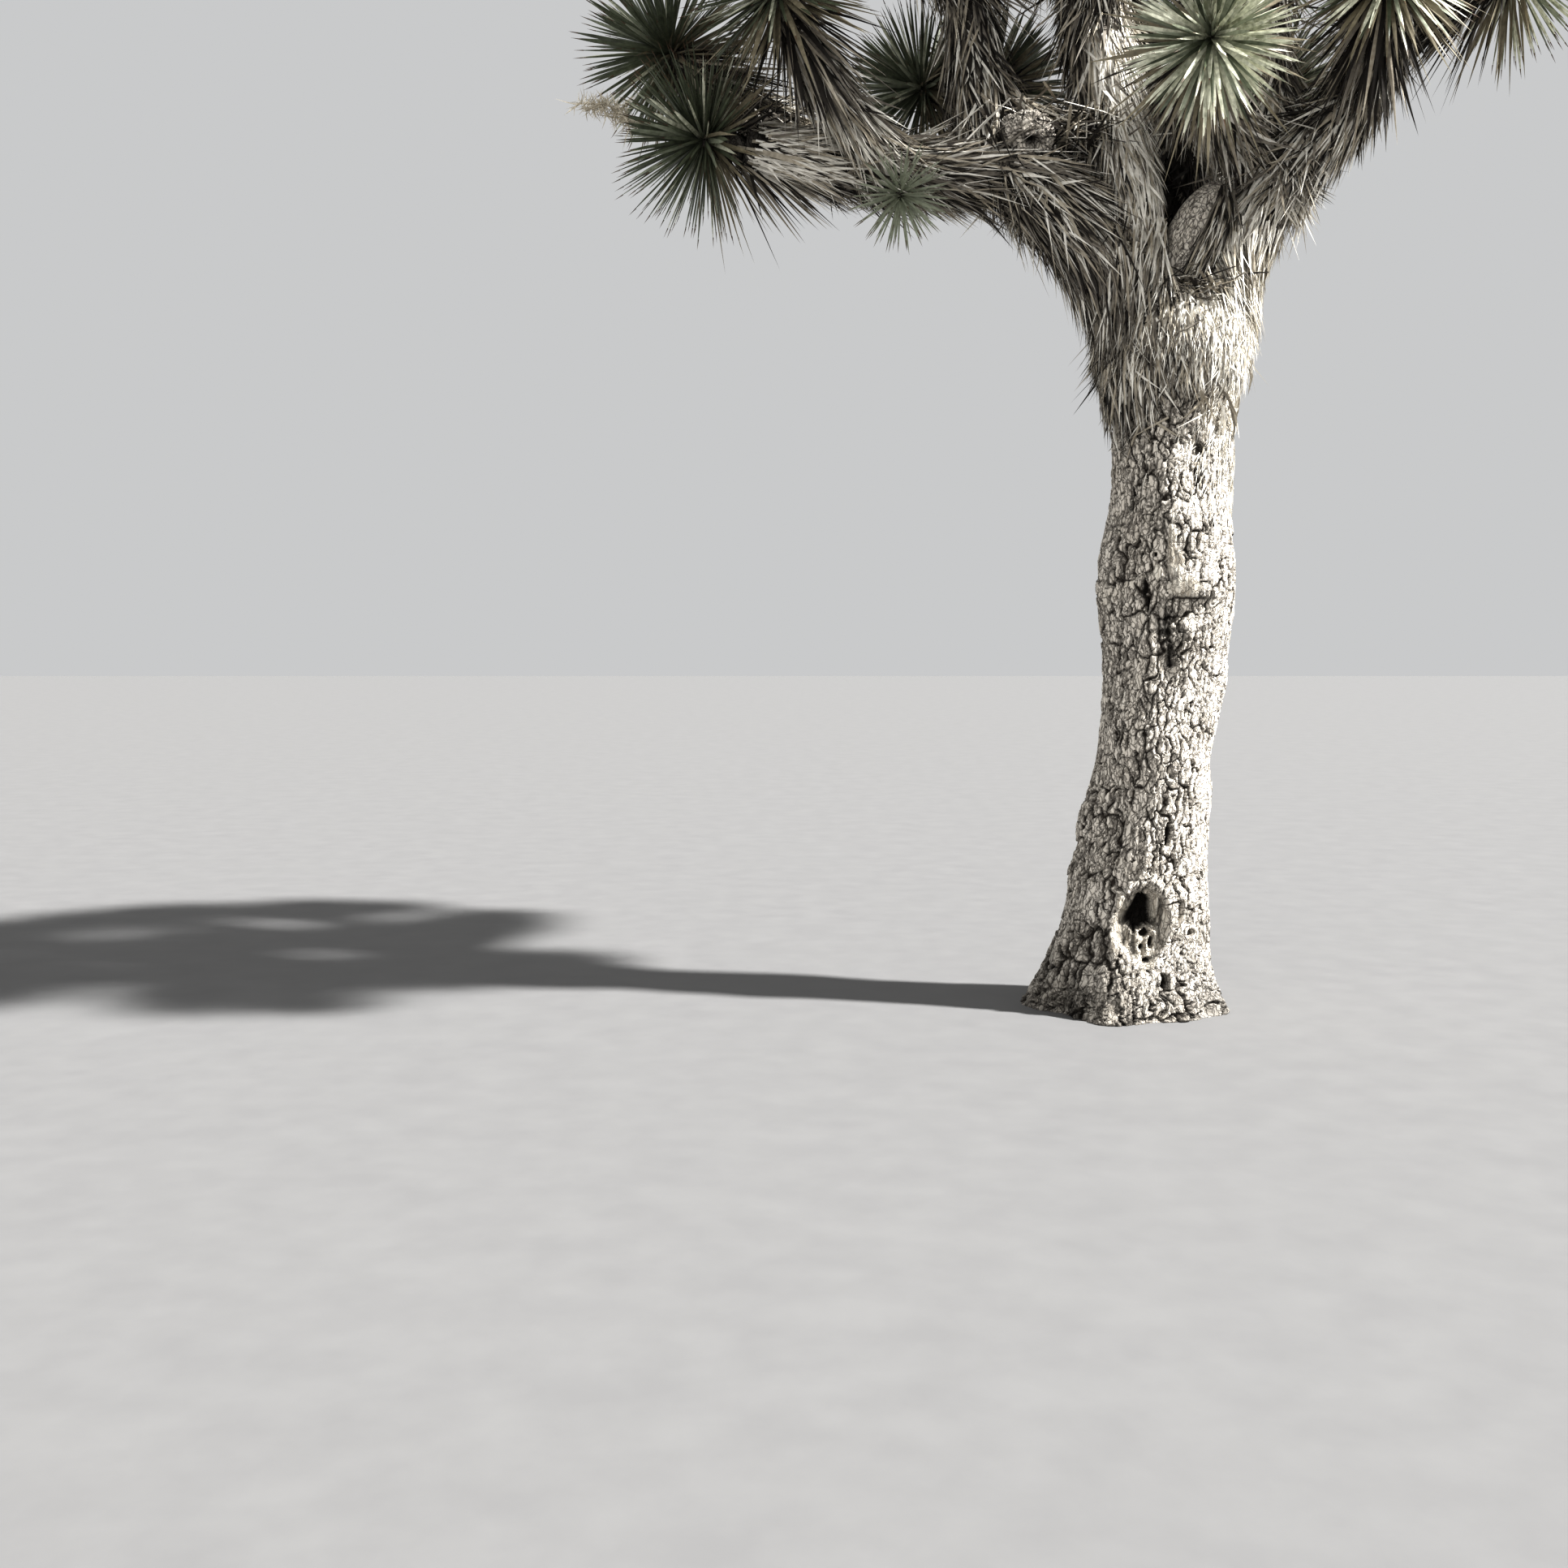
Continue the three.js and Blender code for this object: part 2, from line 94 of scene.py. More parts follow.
def bark_relief(z, angle, shaft):
    """The broad swells and the single marks, as in the solid."""
    relief = 0
    for depth, around, rise, phase in SWELLS:
        relief = relief + depth * np.sin(around * angle + 2 * np.pi * z / rise + phase)
    for form in MARKS.values():
        turn = angle - math.radians(form["heading"])
        across = np.arctan2(np.sin(turn), np.cos(turn)) * shaft
        far = (across / form["width"]) ** 2 + ((z - form["z"]) / form["height"]) ** 2
        relief = relief + form["out"] * np.exp(-far)
    return relief


def trunk_radius(z, angle):
    flare = FLARE["depth"] * np.exp(-z / FLARE["height"])
    belly = BELLY["depth"] * np.exp(-(((z - BELLY["height"]) / BELLY["spread"]) ** 2))
    collar = COLLAR["depth"] * smoothstep(z, COLLAR["from"], COLLAR["to"])
    fade = ROOT_LOBES["share"] * np.exp(-z / ROOT_LOBES["height"])
    lobes = 1 + fade * np.cos(ROOT_LOBES["count"] * (angle - np.pi))
    past = np.maximum(0, z - (TRUNK_TOP - DOME)) / DOME
    shaft = (SHAFT_RADIUS + flare + belly + collar) * lobes
    return (shaft + bark_relief(z, angle, shaft)) * np.sqrt(1 - 0.75 * past**2)


def beside_trunk(away, angle, z):
    """Places at a distance from the trunk's axis, and the level way out to them."""
    out = np.stack([np.cos(angle), np.sin(angle), 0 * z], axis=1)
    return np.stack([trunk_axis(z) + away * out[:, 0], away * out[:, 1], z], axis=1), out


for height in (0.0, 0.5, 1.5, 2.4):
    print(f"trunk at {height} m: radius {trunk_radius(height, 0.0):.3f}, axis at x {trunk_axis(height):.3f}")

# %% Directions and chances
UP = np.array([0.0, 0.0, 1.0])


def unit(vectors):
    return vectors / np.linalg.norm(vectors, axis=-1, keepdims=True)


def direction(heading, climb):
    h, c = np.broadcast_arrays(np.radians(heading), np.radians(climb))
    return np.stack([np.cos(h) * np.cos(c), np.sin(h) * np.cos(c), np.sin(c)], axis=-1)


def tilted(along, side, degrees):
    """Turns away from a direction by some degrees, towards a side that is square to it."""
    angle = np.radians(degrees)[..., None] if np.ndim(degrees) else np.radians(degrees)
    return along * np.cos(angle) + side * np.sin(angle)


def chance_from(seed):
    """The seeded run of chances that grew the solids, step for step."""
    state = seed

    def chance():
        nonlocal state
        state = (state * 1664525 + 1013904223) % 2**32
        return state / 2**32

    return chance


# %% Limbs
TAPER = 0.82


class Limb:
    """A tapering limb whose centre line is one smooth bend."""

    def __init__(self, name, start, aim, length, radius, tip=None, turn=0, curl=0):
        self.name, self.aim, self.turn, self.length = name, aim, turn, length
        self.radius, self.tip = radius, radius * TAPER if tip is None else tip
        self.start = start
        self.middle = start + direction(*aim) * length / 2
        self.end = self.middle + direction(aim[0] + turn, aim[1] + curl) * length / 2

    def place(self, share):
        """Centre, along, side, over and radius at one share of its length, or at many."""
        t = np.asarray(share, float)[..., None]
        centre = (1 - t) ** 2 * self.start + 2 * (1 - t) * t * self.middle + t**2 * self.end
        along = unit((1 - t) * (self.middle - self.start) + t * (self.end - self.middle))
        side = direction(self.aim[0] + self.turn * t[..., 0] + 90, 0)
        side = unit(side - along * np.sum(side * along, axis=-1, keepdims=True))
        radius = self.radius + (self.tip - self.radius) * t[..., 0]
        return centre, along, side, np.cross(along, side), radius


def straight_limb(name, start, along, length, radius, tip):
    aim = (math.degrees(math.atan2(along[1], along[0])), math.degrees(math.asin(along[2])))
    return Limb(name, start, aim, length, radius, tip)


# %% The boughs, each with what carries it
FORK = {"height": 2.36, "ring": 0.06}
BOUGHS = {
    "left_bough": dict(on="trunk", aim=(189, 60), curl=-32, length=0.81, radius=0.2),
    "left_outer": dict(
        on="left_bough", at=0.93, aim=(187, -4), curl=14, length=0.93, radius=0.125, heads=[1]
    ),
    "left_rise": dict(on="left_outer", at=0.4, aim=(215, 21), curl=36, length=0.63, radius=0.1, heads=[1]),
    "left_back": dict(on="left_outer", at=0.55, aim=(162, 24), curl=14, length=0.71, radius=0.084, heads=[1]),
    "left_upright": dict(on="left_bough", at=0.94, aim=(140, 61), curl=25, length=0.69, radius=0.122),
    "left_shade": dict(
        on="left_bough", at=0.8, aim=(70, 47), turn=60, curl=-24, length=0.65, radius=0.1, heads=[1, 1]
    ),
    "centre_bough": dict(on="trunk", aim=(180, 73), curl=10, length=1.12, radius=0.165),
    "back_bough": dict(on="trunk", aim=(77, 56), curl=20, length=1.22, radius=0.16),
    "right_bough": dict(on="trunk", aim=(357, 68), curl=-18, length=0.72, radius=0.168),
    "right_upper": dict(on="right_bough", at=0.95, aim=(4, 37), curl=38, length=0.61, radius=0.128),
    "bright_limb": dict(
        on="right_bough", at=0.8, aim=(201, 40), turn=62, curl=-44, length=0.9, radius=0.098, heads=[1]
    ),
    "right_front": dict(
        on="right_upper", at=0.45, aim=(272, 27), curl=24, length=0.35, radius=0.084, heads=[1]
    ),
    "right_reach": dict(
        on="right_upper", at=0.95, aim=(1, 16), curl=12, length=0.33, radius=0.092, heads=[1]
    ),
    "right_shade": dict(on="right_bough", at=0.85, aim=(89, 60), curl=15, length=0.73, radius=0.108),
    "left_crown": dict(on="left_upright", aim=(204, 36), curl=22, length=0.78, radius=0.098, heads=[2, 2]),
    "left_top": dict(on="left_upright", aim=(104, 40), curl=24, length=0.8, radius=0.098, heads=[1, 1]),
    "centre_left": dict(on="centre_bough", aim=(208, 58), curl=8, length=1.02, radius=0.096, heads=[2, 2]),
    "front_crown": dict(on="centre_bough", aim=(268, 32), curl=24, length=1.0, radius=0.104, heads=[2, 2]),
    "top_crown": dict(on="centre_bough", aim=(30, 76), curl=8, length=1.06, radius=0.11, heads=[1, 1, 1]),
    "back_crown": dict(on="back_bough", aim=(66, 32), curl=24, length=0.88, radius=0.1, heads=[2, 2]),
    "back_left": dict(on="back_bough", aim=(136, 36), curl=24, length=0.84, radius=0.1, heads=[2, 2]),
    "back_low": dict(on="back_bough", at=0.5, aim=(52, 18), curl=30, length=0.88, radius=0.094, heads=[2]),
    "right_crown": dict(on="right_upper", aim=(322, 44), curl=16, length=0.73, radius=0.098, heads=[1, 1]),
    "right_back": dict(on="right_upper", aim=(56, 42), curl=20, length=0.78, radius=0.098, heads=[2, 2]),
    "front_right": dict(
        on="right_upper", at=0.85, aim=(250, 32), curl=22, length=0.98, radius=0.094, heads=[2]
    ),
    "shade_crown": dict(on="right_shade", aim=(350, 74), curl=6, length=0.76, radius=0.092, heads=[3]),
}


def start_of(carrier, at, heading):
    """Where a bough starts: on a ring round the trunk's axis, or on the limb that carries it."""
    if carrier != "trunk":
        return limbs[carrier].place(at)[0]
    return direction(heading, 0) * FORK["ring"] + np.array([trunk_axis(FORK["height"]), 0, FORK["height"]])


limbs = {}
for name, bough in BOUGHS.items():
    start = start_of(bough["on"], bough.get("at", 1), bough["aim"][0])
    shape = {key: bough[key] for key in ("aim", "turn", "curl", "length", "radius") if key in bough}
    limbs[name] = Limb(name, start, **shape)
print("boughs:", len(limbs), "with", round(sum(limb.length for limb in limbs.values()), 1), "m of length")

# %% The shoots that the boughs end in, with a head of leaves at each tip
SHOOT = {"length": 0.29, "foot": 0.074, "tip": 0.058, "spread": 40, "rise": 0.3}
LONE_SHOOT = 0.165
TWIG = {"length": 0.27, "at": 0.45, "spread": 62, "taper": 0.85}
YOUNG = {"on": "left_outer", "at": 0.43, "aim": (268, -42), "length": 0.165, "leaf": 0.175}
LEAF_LENGTH = 0.31
SHOOT_SEED = 20


def twig_on(stem, side):
    centre, along, square, over, _ = stem.place(TWIG["at"])
    out = tilted(along, tilted(square, over, side), TWIG["spread"])
    return straight_limb(stem.name, centre, out, TWIG["length"], SHOOT["tip"], SHOOT["tip"] * TWIG["taper"])


def shoots_of(limb, heads, chance):
    """The stems of each of a bough's masses of leaves, by the mass's name."""
    centre, along, square, over, _ = limb.place(1.0)
    alone = len(heads) == 1
    label = limb.name.replace("_bough", "").replace("_limb", "") + "_head"
    phase = 360 * chance()
    made = {}
    for k, count in enumerate(heads):
        spread = 0 if alone else SHOOT["spread"] + 8 * (chance() - 0.5)
        aim = tilted(along, tilted(square, over, phase + 360 * k / len(heads)), spread)
        if not alone:
            aim = unit(aim + UP * SHOOT["rise"])
        length = LONE_SHOOT if alone else SHOOT["length"] * (0.85 + 0.3 * chance())
        mass = label if alone else f"{label}_{k + 1}"
        stem = straight_limb(mass, centre, aim, length, SHOOT["foot"], SHOOT["tip"])
        side = 360 * chance()
        made[mass] = [stem] + [twig_on(stem, side + 360 * twig / count) for twig in range(1, count)]
    return made


masses = {}
shoot_chance = chance_from(SHOOT_SEED)
for name, bough in BOUGHS.items():
    if "heads" in bough:
        masses.update(shoots_of(limbs[name], bough["heads"], shoot_chance))
stems = [stem for mass in masses.values() for stem in mass]
print("masses of leaves:", len(masses), "heads:", len(stems))

# %% [markdown]
# ## Finishes
#
# Old bark, dead leaves and living leaves all weather in the same two ways: fine fibres run
# through them, and patches of them have faded. One node group gives both, so each material
# only says its own two tones, how fine the fibres are, and which way they are drawn out. The
# picture that this tree follows is black and white, so the tones follow it and the hues are
# those of the species: grey-brown cork, straw-grey dead leaves and grey-green live ones.

# %% Node helpers and the weathering group
def put(tree, kind, settings=None, **inputs):
    """A node with its settings and its inputs, which are values or other nodes' sockets."""
    node = tree.nodes.new(kind)
    for key, value in (settings or {}).items():
        setattr(node, key, value)
    for key, value in inputs.items():
        socket = node.inputs[int(key[1:])] if key[0] == "_" else node.inputs[key]
        if isinstance(value, bpy.types.NodeSocket):
            tree.links.new(value, socket)
        else:
            socket.default_value = value
    return node


def blended(tree, factor, first, second):
    """Mixes two colours."""
    mix = put(tree, "ShaderNodeMix", {"data_type": "RGBA"}, _0=factor, _6=first, _7=second)
    return mix.outputs[2]


def weathering_group():
    group = bpy.data.node_groups.new("weathering", "ShaderNodeTree")
    face = group.interface
    face.new_socket("Pale", in_out="INPUT", socket_type="NodeSocketColor")
    face.new_socket("Dark", in_out="INPUT", socket_type="NodeSocketColor")
    face.new_socket("Fineness", in_out="INPUT", socket_type="NodeSocketFloat")
    face.new_socket("Stretch", in_out="INPUT", socket_type="NodeSocketVector")
    face.new_socket("Color", in_out="OUTPUT", socket_type="NodeSocketColor")
    face.new_socket("Fibre", in_out="OUTPUT", socket_type="NodeSocketFloat")
    given = group.nodes.new("NodeGroupInput")
    place = put(group, "ShaderNodeTexCoord").outputs["Object"]
    stretch, fineness = given.outputs["Stretch"], given.outputs["Fineness"]
    drawn = put(group, "ShaderNodeVectorMath", {"operation": "MULTIPLY"}, _0=place, _1=stretch)
    fibre = put(group, "ShaderNodeTexNoise", Vector=drawn.outputs[0], Scale=fineness, Detail=4.0)
    faded = put(group, "ShaderNodeTexNoise", Vector=place, Scale=5.0, Detail=3.0)
    both = put(group, "ShaderNodeMath", {"operation": "MULTIPLY_ADD"}, _0=faded.outputs[0], _1=0.5)
    half = put(group, "ShaderNodeMath", {"operation": "MULTIPLY"}, _0=fibre.outputs[0], _1=0.5)
    group.links.new(half.outputs[0], both.inputs[2])
    spread = put(group, "ShaderNodeMapRange", _0=both.outputs[0], _1=0.36, _2=0.64)
    out = group.nodes.new("NodeGroupOutput")
    colour = blended(group, spread.outputs[0], given.outputs["Dark"], given.outputs["Pale"])
    group.links.new(colour, out.inputs["Color"])
    group.links.new(fibre.outputs[0], out.inputs["Fibre"])
    return group


WEATHERING = weathering_group()
print("the weathering group has", len(WEATHERING.nodes), "nodes")


def weathered(name, pale, dark, fineness, bump, roughness, specular=0.3, stretch=(1, 1, 1)):
    """A material of two tones with fibres in it."""
    material = bpy.data.materials.new(name)
    material.use_nodes = True
    tree = material.node_tree
    shader = tree.nodes["Principled BSDF"]
    tones = put(tree, "ShaderNodeGroup", {"node_tree": WEATHERING, "name": "tones"})
    tones.inputs["Pale"].default_value = (*pale, 1)
    tones.inputs["Dark"].default_value = (*dark, 1)
    tones.inputs["Fineness"].default_value = fineness
    tones.inputs["Stretch"].default_value = stretch
    tree.links.new(tones.outputs["Color"], shader.inputs["Base Color"])
    rough = put(tree, "ShaderNodeMapRange", _0=tones.outputs["Fibre"], _3=roughness[0], _4=roughness[1])
    tree.links.new(rough.outputs[0], shader.inputs["Roughness"])
    raised = put(tree, "ShaderNodeBump", Strength=1.0, Distance=bump, Height=tones.outputs["Fibre"])
    tree.links.new(raised.outputs[0], shader.inputs["Normal"])
    shader.inputs["Specular IOR Level"].default_value = specular
    return material


# %% [markdown]
# ## Bark
#
# The bark of an old trunk is cork, split into upright plates by dark cracks that wander. It
# could be a bump alone, but then the outline stays a smooth cylinder and the low light finds
# nothing to catch on. Here the cracks are real relief: a fine grid is wrapped round the trunk's
# rule and its corners are moved in and out. Each plate is the area nearest to one scattered
# seat, a crack runs where two seats are equally near, and large plates are split by small ones.

# %% Chances that vary smoothly over a sheet that joins at its sides
def wavering(u, v, across, upright, seed):
    """Smooth chances from -1 to 1."""
    knots = np.random.default_rng(seed).uniform(-1, 1, (across, upright + 2))
    x, y = u % 1 * across, np.clip(v, 0, 1) * upright
    i, j = np.floor(x).astype(int), np.floor(y).astype(int)
    fx, fy = smoothstep(x - i, 0, 1), smoothstep(y - j, 0, 1)
    here, there = i % across, (i + 1) % across
    low = knots[here, j] * (1 - fx) + knots[there, j] * fx
    high = knots[here, j + 1] * (1 - fx) + knots[there, j + 1] * fx
    return low * (1 - fy) + high * fy


def ragged(u, v, across, upright, seed):
    """The same at three scales, each half the size and half the strength of the one before."""
    return sum(wavering(u, v, across * 2**k, upright * 2**k, seed + 50 * k) / 2**k for k in range(3)) / 1.4


# %% Plates
UPRIGHT = 0.38


def plates(u, rows, across, upright, width, height, seed):
    """How far each place is from the nearest crack, in metres, and how its plate lifts and tips.
    Heights count for less than widths, so the cracks run mostly up the trunk."""
    rng = np.random.default_rng(seed)
    seats = rng.uniform(0.06, 0.94, (across, upright + 4, 2))
    ways = rng.uniform(-1, 1, (across, upright + 4, 3))
    x, y = u % 1 * across, rows + 1.5
    column, row = np.floor(x).astype(int), np.floor(y).astype(int)
    near, second = np.full(u.shape, 9.0), np.full(u.shape, 9.0)
    near_way, second_way = np.zeros((2,) + u.shape), np.zeros((2,) + u.shape)
    lift = np.zeros(u.shape)
    for i in range(-2, 3):
        for j in range(-1, 2):
            c, r = (column + i) % across, np.clip(row + j, 0, upright + 3)
            dx = column + i + seats[c, r, 0] - x
            dy = row + j + seats[c, r, 1] - y
            way = np.stack([dx * width, dy * height * UPRIGHT])
            away = np.hypot(way[0], way[1])
            closest = away < near
            between = ~closest & (away < second)
            second_way = np.where(closest, near_way, np.where(between, way, second_way))
            second = np.where(closest, near, np.where(between, away, second))
            near_way = np.where(closest, way, near_way)
            near = np.minimum(near, away)
            lift = np.where(closest, ways[c, r, 0] + ways[c, r, 1] * dx + ways[c, r, 2] * dy, lift)
    gap = second_way - near_way
    reach = np.hypot(gap[0], gap[1])
    slope = np.hypot(gap[0], UPRIGHT * gap[1]) / reach
    return (second**2 - near**2) / (2 * reach * slope), lift


# %% Sheets rolled into tubes, and pieces for the scene
def tube_sheet(columns, rows):
    """A grid rolled into a tube of radius 1 from z 0 to 1, its seam joined and its ends closed."""
    sheet = bmesh.new()
    bmesh.ops.create_grid(sheet, x_segments=columns, y_segments=rows, size=0.5)
    for corner in sheet.verts:
        angle = 2 * math.pi * corner.co.x
        corner.co = (math.cos(angle), math.sin(angle), corner.co.y + 0.5)
    bmesh.ops.remove_doubles(sheet, verts=sheet.verts, dist=1e-5)
    for face in sheet.faces:
        face.smooth = True
    bmesh.ops.holes_fill(sheet, edges=[edge for edge in sheet.edges if edge.is_boundary])
    bmesh.ops.recalc_face_normals(sheet, faces=sheet.faces)
    return sheet


def corners_of(mesh):
    points = np.empty(len(mesh.vertices) * 3)
    mesh.vertices.foreach_get("co", points)
    return points.reshape(-1, 3)


def give(mesh, **shares):
    """Leaves named shares on the corners of a mesh, for its material."""
    for name, values in shares.items():
        mesh.attributes.new(name, "FLOAT", "POINT").data.foreach_set("value", values.astype(np.float32))


def add_piece(name, mesh, material, nodes):
    """Puts a mesh in the scene as a piece that stands for some of the solids."""
    piece = bpy.data.objects.new(name, mesh)
    bpy.context.scene.collection.objects.link(piece)
    mesh.materials.append(material)
    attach(piece, "root")
    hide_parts(*nodes)
    points = corners_of(mesh)
    triangles = sum(len(face.vertices) - 2 for face in mesh.polygons)
    print(f"{name}: {triangles} triangles, from {points.min(0).round(3)} to {points.max(0).round(3)}")


# %% Marks that this trunk carries
# Holes, bare wood and scars each have a height, an angle round the trunk, half a width and half
# a height, and a hole has its depth too. A step has a height, an angle and half a width.
ROT_HOLES = {
    "left_recess": (1.77, -144, 0.024, 0.062, 0.022),
    "slot": (1.48, -123, 0.014, 0.044, 0.036),
    "slot_tail": (1.41, -119, 0.01, 0.034, 0.022),
    "peck_left": (1.585, -126, 0.0095, 0.01, 0.022),
    "peck_right": (1.583, -114, 0.0085, 0.009, 0.02),
    "oval": (0.631, -81, 0.015, 0.046, 0.032),
    "side_slit": (0.362, -62, 0.012, 0.05, 0.04),
    "side_dot": (0.287, -52, 0.018, 0.016, 0.03),
    "under_left": (0.298, -101, 0.008, 0.01, 0.018),
    "under_middle": (0.29, -91, 0.03, 0.018, 0.024),
    "under_right": (0.258, -84, 0.017, 0.032, 0.026),
    "under_low": (0.243, -92, 0.016, 0.014, 0.026),
    "under_foot": (0.2, -87, 0.022, 0.012, 0.022),
    "foot_right": (0.13, -74, 0.016, 0.034, 0.03),
}
BARE_WOOD = {
    "ridge_top": (1.63, -99, 0.016, 0.075),
    "ridge": (1.55, -96, 0.03, 0.06),
    "ridge_foot": (1.472, -90, 0.07, 0.04),
    "smooth_scar": (1.522, -111, 0.016, 0.03),
    "beside_hollow": (0.33, -113, 0.022, 0.11),
    "under_hollow": (0.24, -89, 0.06, 0.075),
}
RECESS = {"height": 0.315, "angle": -93, "width": 0.094, "tall": 0.135, "depth": 0.034, "lip": 0.014}
VOID = {"base": 0.315, "angle": -97, "half": 0.078, "tall": 0.112, "depth": 0.085}
FOLD = {"low": (1.2, -128), "high": (1.44, -106), "width": 0.018, "rise": 0.008, "groove": 0.014}
LEDGE = {"height": 1.437, "angle": -84, "width": 0.1, "drop": 0.007, "rise": 0.005}
SCARS = {
    "middle": (1.285, -100, 0.066, 0.12),
    "upper": (1.865, -72, 0.036, 0.11),
    "low": (0.86, -84, 0.02, 0.05),
}
STEPS = ((0.73, -168, 0.08), (0.55, 178, 0.09), (0.5, 172, 0.05), (1.5, -174, 0.04), (1.69, -160, 0.07))


def across_bark(angle, z, middle):
    """How far round the surface a place is from an angle given in degrees."""
    turn = (angle - np.radians(middle) + np.pi) % (2 * np.pi) - np.pi
    return turn * trunk_radius(z, angle)


def uneven(angle, z, across, upright, seed):
    """Ragged chances over the trunk's surface."""
    return ragged(angle / (2 * np.pi) % 1, z / TRUNK_TOP, across, upright, seed)


def mark(angle, z, place, raggedness, net):
    """Rises from 0 at a mark's middle to 1 at its ragged edge and on outwards."""
    height, middle, width, tall = place
    away = np.hypot(across_bark(angle, z, middle) / width, (z - height) / tall)
    return away + raggedness * uneven(angle, z, *net)


print("marks on the trunk's bark:", len(ROT_HOLES) + len(BARE_WOOD) + len(SCARS) + len(STEPS))

# %% Cracks and plates of the trunk's bark, wider and darker on the side turned from the key light, as painted shade
SUNLIT_SIDE = -14
PLATES = dict(across=38, upright=32, width=0.036, height=0.1, seed=4)
CHIPS = dict(across=78, upright=36, width=0.0175, height=0.085, seed=6)
CRACKED = dict(width=0.0042, sheltered=0.9, least=0.75, spread=1.3, net=(26, 36, 7), rim=(0.1, 1.2))
CHIPPED = dict(width=0.003, sheltered=1.1, least=0.6, spread=1.4, net=(34, 48, 8), rim=(0, 1.3))
# Each depth in metres is the shaft's, followed by what the foot adds to it.
DEPTHS = {"plate": (0.003, 0.009), "chip": (0.0018, 0.004), "crack": (0.012, 0.01), "split": (0.0045, 0.006)}
FINE_RELIEF = {"edges": 0.001, "lumps": 0.0009, "furrows": 0.002}


def rows_up(z, height):
    """Which row of plates a place is in. The rows are shorter at the foot and under the collar."""
    return z / height + 0.8 * (1 - np.exp(-np.maximum(z, 0) / 0.1)) + 1.8 * smoothstep(z, 1.98, 2.3)


def opened(edge, angle, z, width, sheltered, least, spread, net, rim):
    """How cracked each place is, from how far it is from the nearest plate's edge, wider open on the side
    turned from the key light as painted shade.
    """
    turned_away = smoothstep(-np.cos(angle - np.radians(SUNLIT_SIDE)), -0.3, 0.5)
    gap = width * (1 + sheltered * turned_away) * (least + spread * uneven(angle, z, *net))
    return (1 - smoothstep(edge, rim[0] * gap, rim[1] * np.maximum(gap, 1e-4))) * (gap > 0)


def cork(angle, z):
    """The relief of plain bark, and how cracked it is, from 0 to 1."""
    u = angle / (2 * np.pi) % 1
    bend = 0.015 * uneven(angle, z, 28, 54, 1)
    climb = 0.03 * uneven(angle, z, 26, 44, 3)
    edge, lift = plates(u + bend, rows_up(z + climb, PLATES["height"]), **PLATES)
    chip_bend = 0.7 * bend + 0.004 * uneven(angle, z, 110, 180, 5)
    chip_edge, chip_lift = plates(u + chip_bend, rows_up(z + climb, CHIPS["height"]), **CHIPS)
    crack = opened(edge, angle, z, **CRACKED)
    split = opened(chip_edge, angle, z, **CHIPPED)
    foot = np.exp(-z / 0.1)
    depth = {name: shaft + more * foot for name, (shaft, more) in DEPTHS.items()}
    relief = depth["plate"] * lift + depth["chip"] * chip_lift
    relief -= FINE_RELIEF["edges"] * (1 - smoothstep(edge, 0, 0.006)) + depth["crack"] * crack
    relief -= depth["split"] * split
    lumps, furrows = uneven(angle, z, 90, 110, 9), wavering(u, z / TRUNK_TOP, 170, 60, 27)
    relief += FINE_RELIEF["lumps"] * lumps + FINE_RELIEF["furrows"] * furrows
    return relief, np.maximum(crack, 0.75 * split)


# %% Bare wood, and the recess round the hollow
def bare_wood(angle, z):
    """Where the bark is gone and smooth wood shows, from 0 to 1."""
    bare = np.zeros(z.shape)
    for place in BARE_WOOD.values():
        bare = np.maximum(bare, 1 - smoothstep(mark(angle, z, place, 0.3, (60, 60, 10)), 0.6, 1.1))
    return bare


def recess_and_lip(angle, z):
    """The sunk oval that holds the hollow, and the lip that has rolled over its upper left."""
    place = (RECESS["height"], RECESS["angle"], RECESS["width"], RECESS["tall"])
    around = mark(angle, z, place, 0.1, (26, 40, 18))
    beside = across_bark(angle, z, RECESS["angle"]) / RECESS["width"]
    over = smoothstep(0.45 * (z - RECESS["height"]) / RECESS["tall"] - 0.55 * beside, -0.25, 0.35)
    rolled = np.exp(-(((around - 1.16) / 0.12) ** 2)) * over**2
    return 1 - smoothstep(around, 0.82, 1.02), rolled * (0.75 + 0.8 * uneven(angle, z, 36, 44, 26))


# %% Toes and steps
def add_toes_and_steps(bark, angle, z):
    """The ribbed toes at the foot, and the steps where plates have come away."""
    toes = np.cos(11 * angle + 1.4 * np.sin(3 * angle + 1)) + 0.7 * np.cos(7 * angle + 2)
    bark["relief"] += 0.019 * np.exp(-z / 0.075) * toes
    for height, middle, width in STEPS:
        below = height + 0.012 * uneven(angle, z, 40, 10, 19) - z
        near = np.exp(-((across_bark(angle, z, middle) / width) ** 4))
        bark["relief"] += 0.008 * near * smoothstep(below, 0, 0.01) * (1 - smoothstep(below, 0.03, 0.16))
        bark["cracked"] = np.maximum(bark["cracked"], 0.8 * near * np.exp(-((below / 0.006) ** 2)))


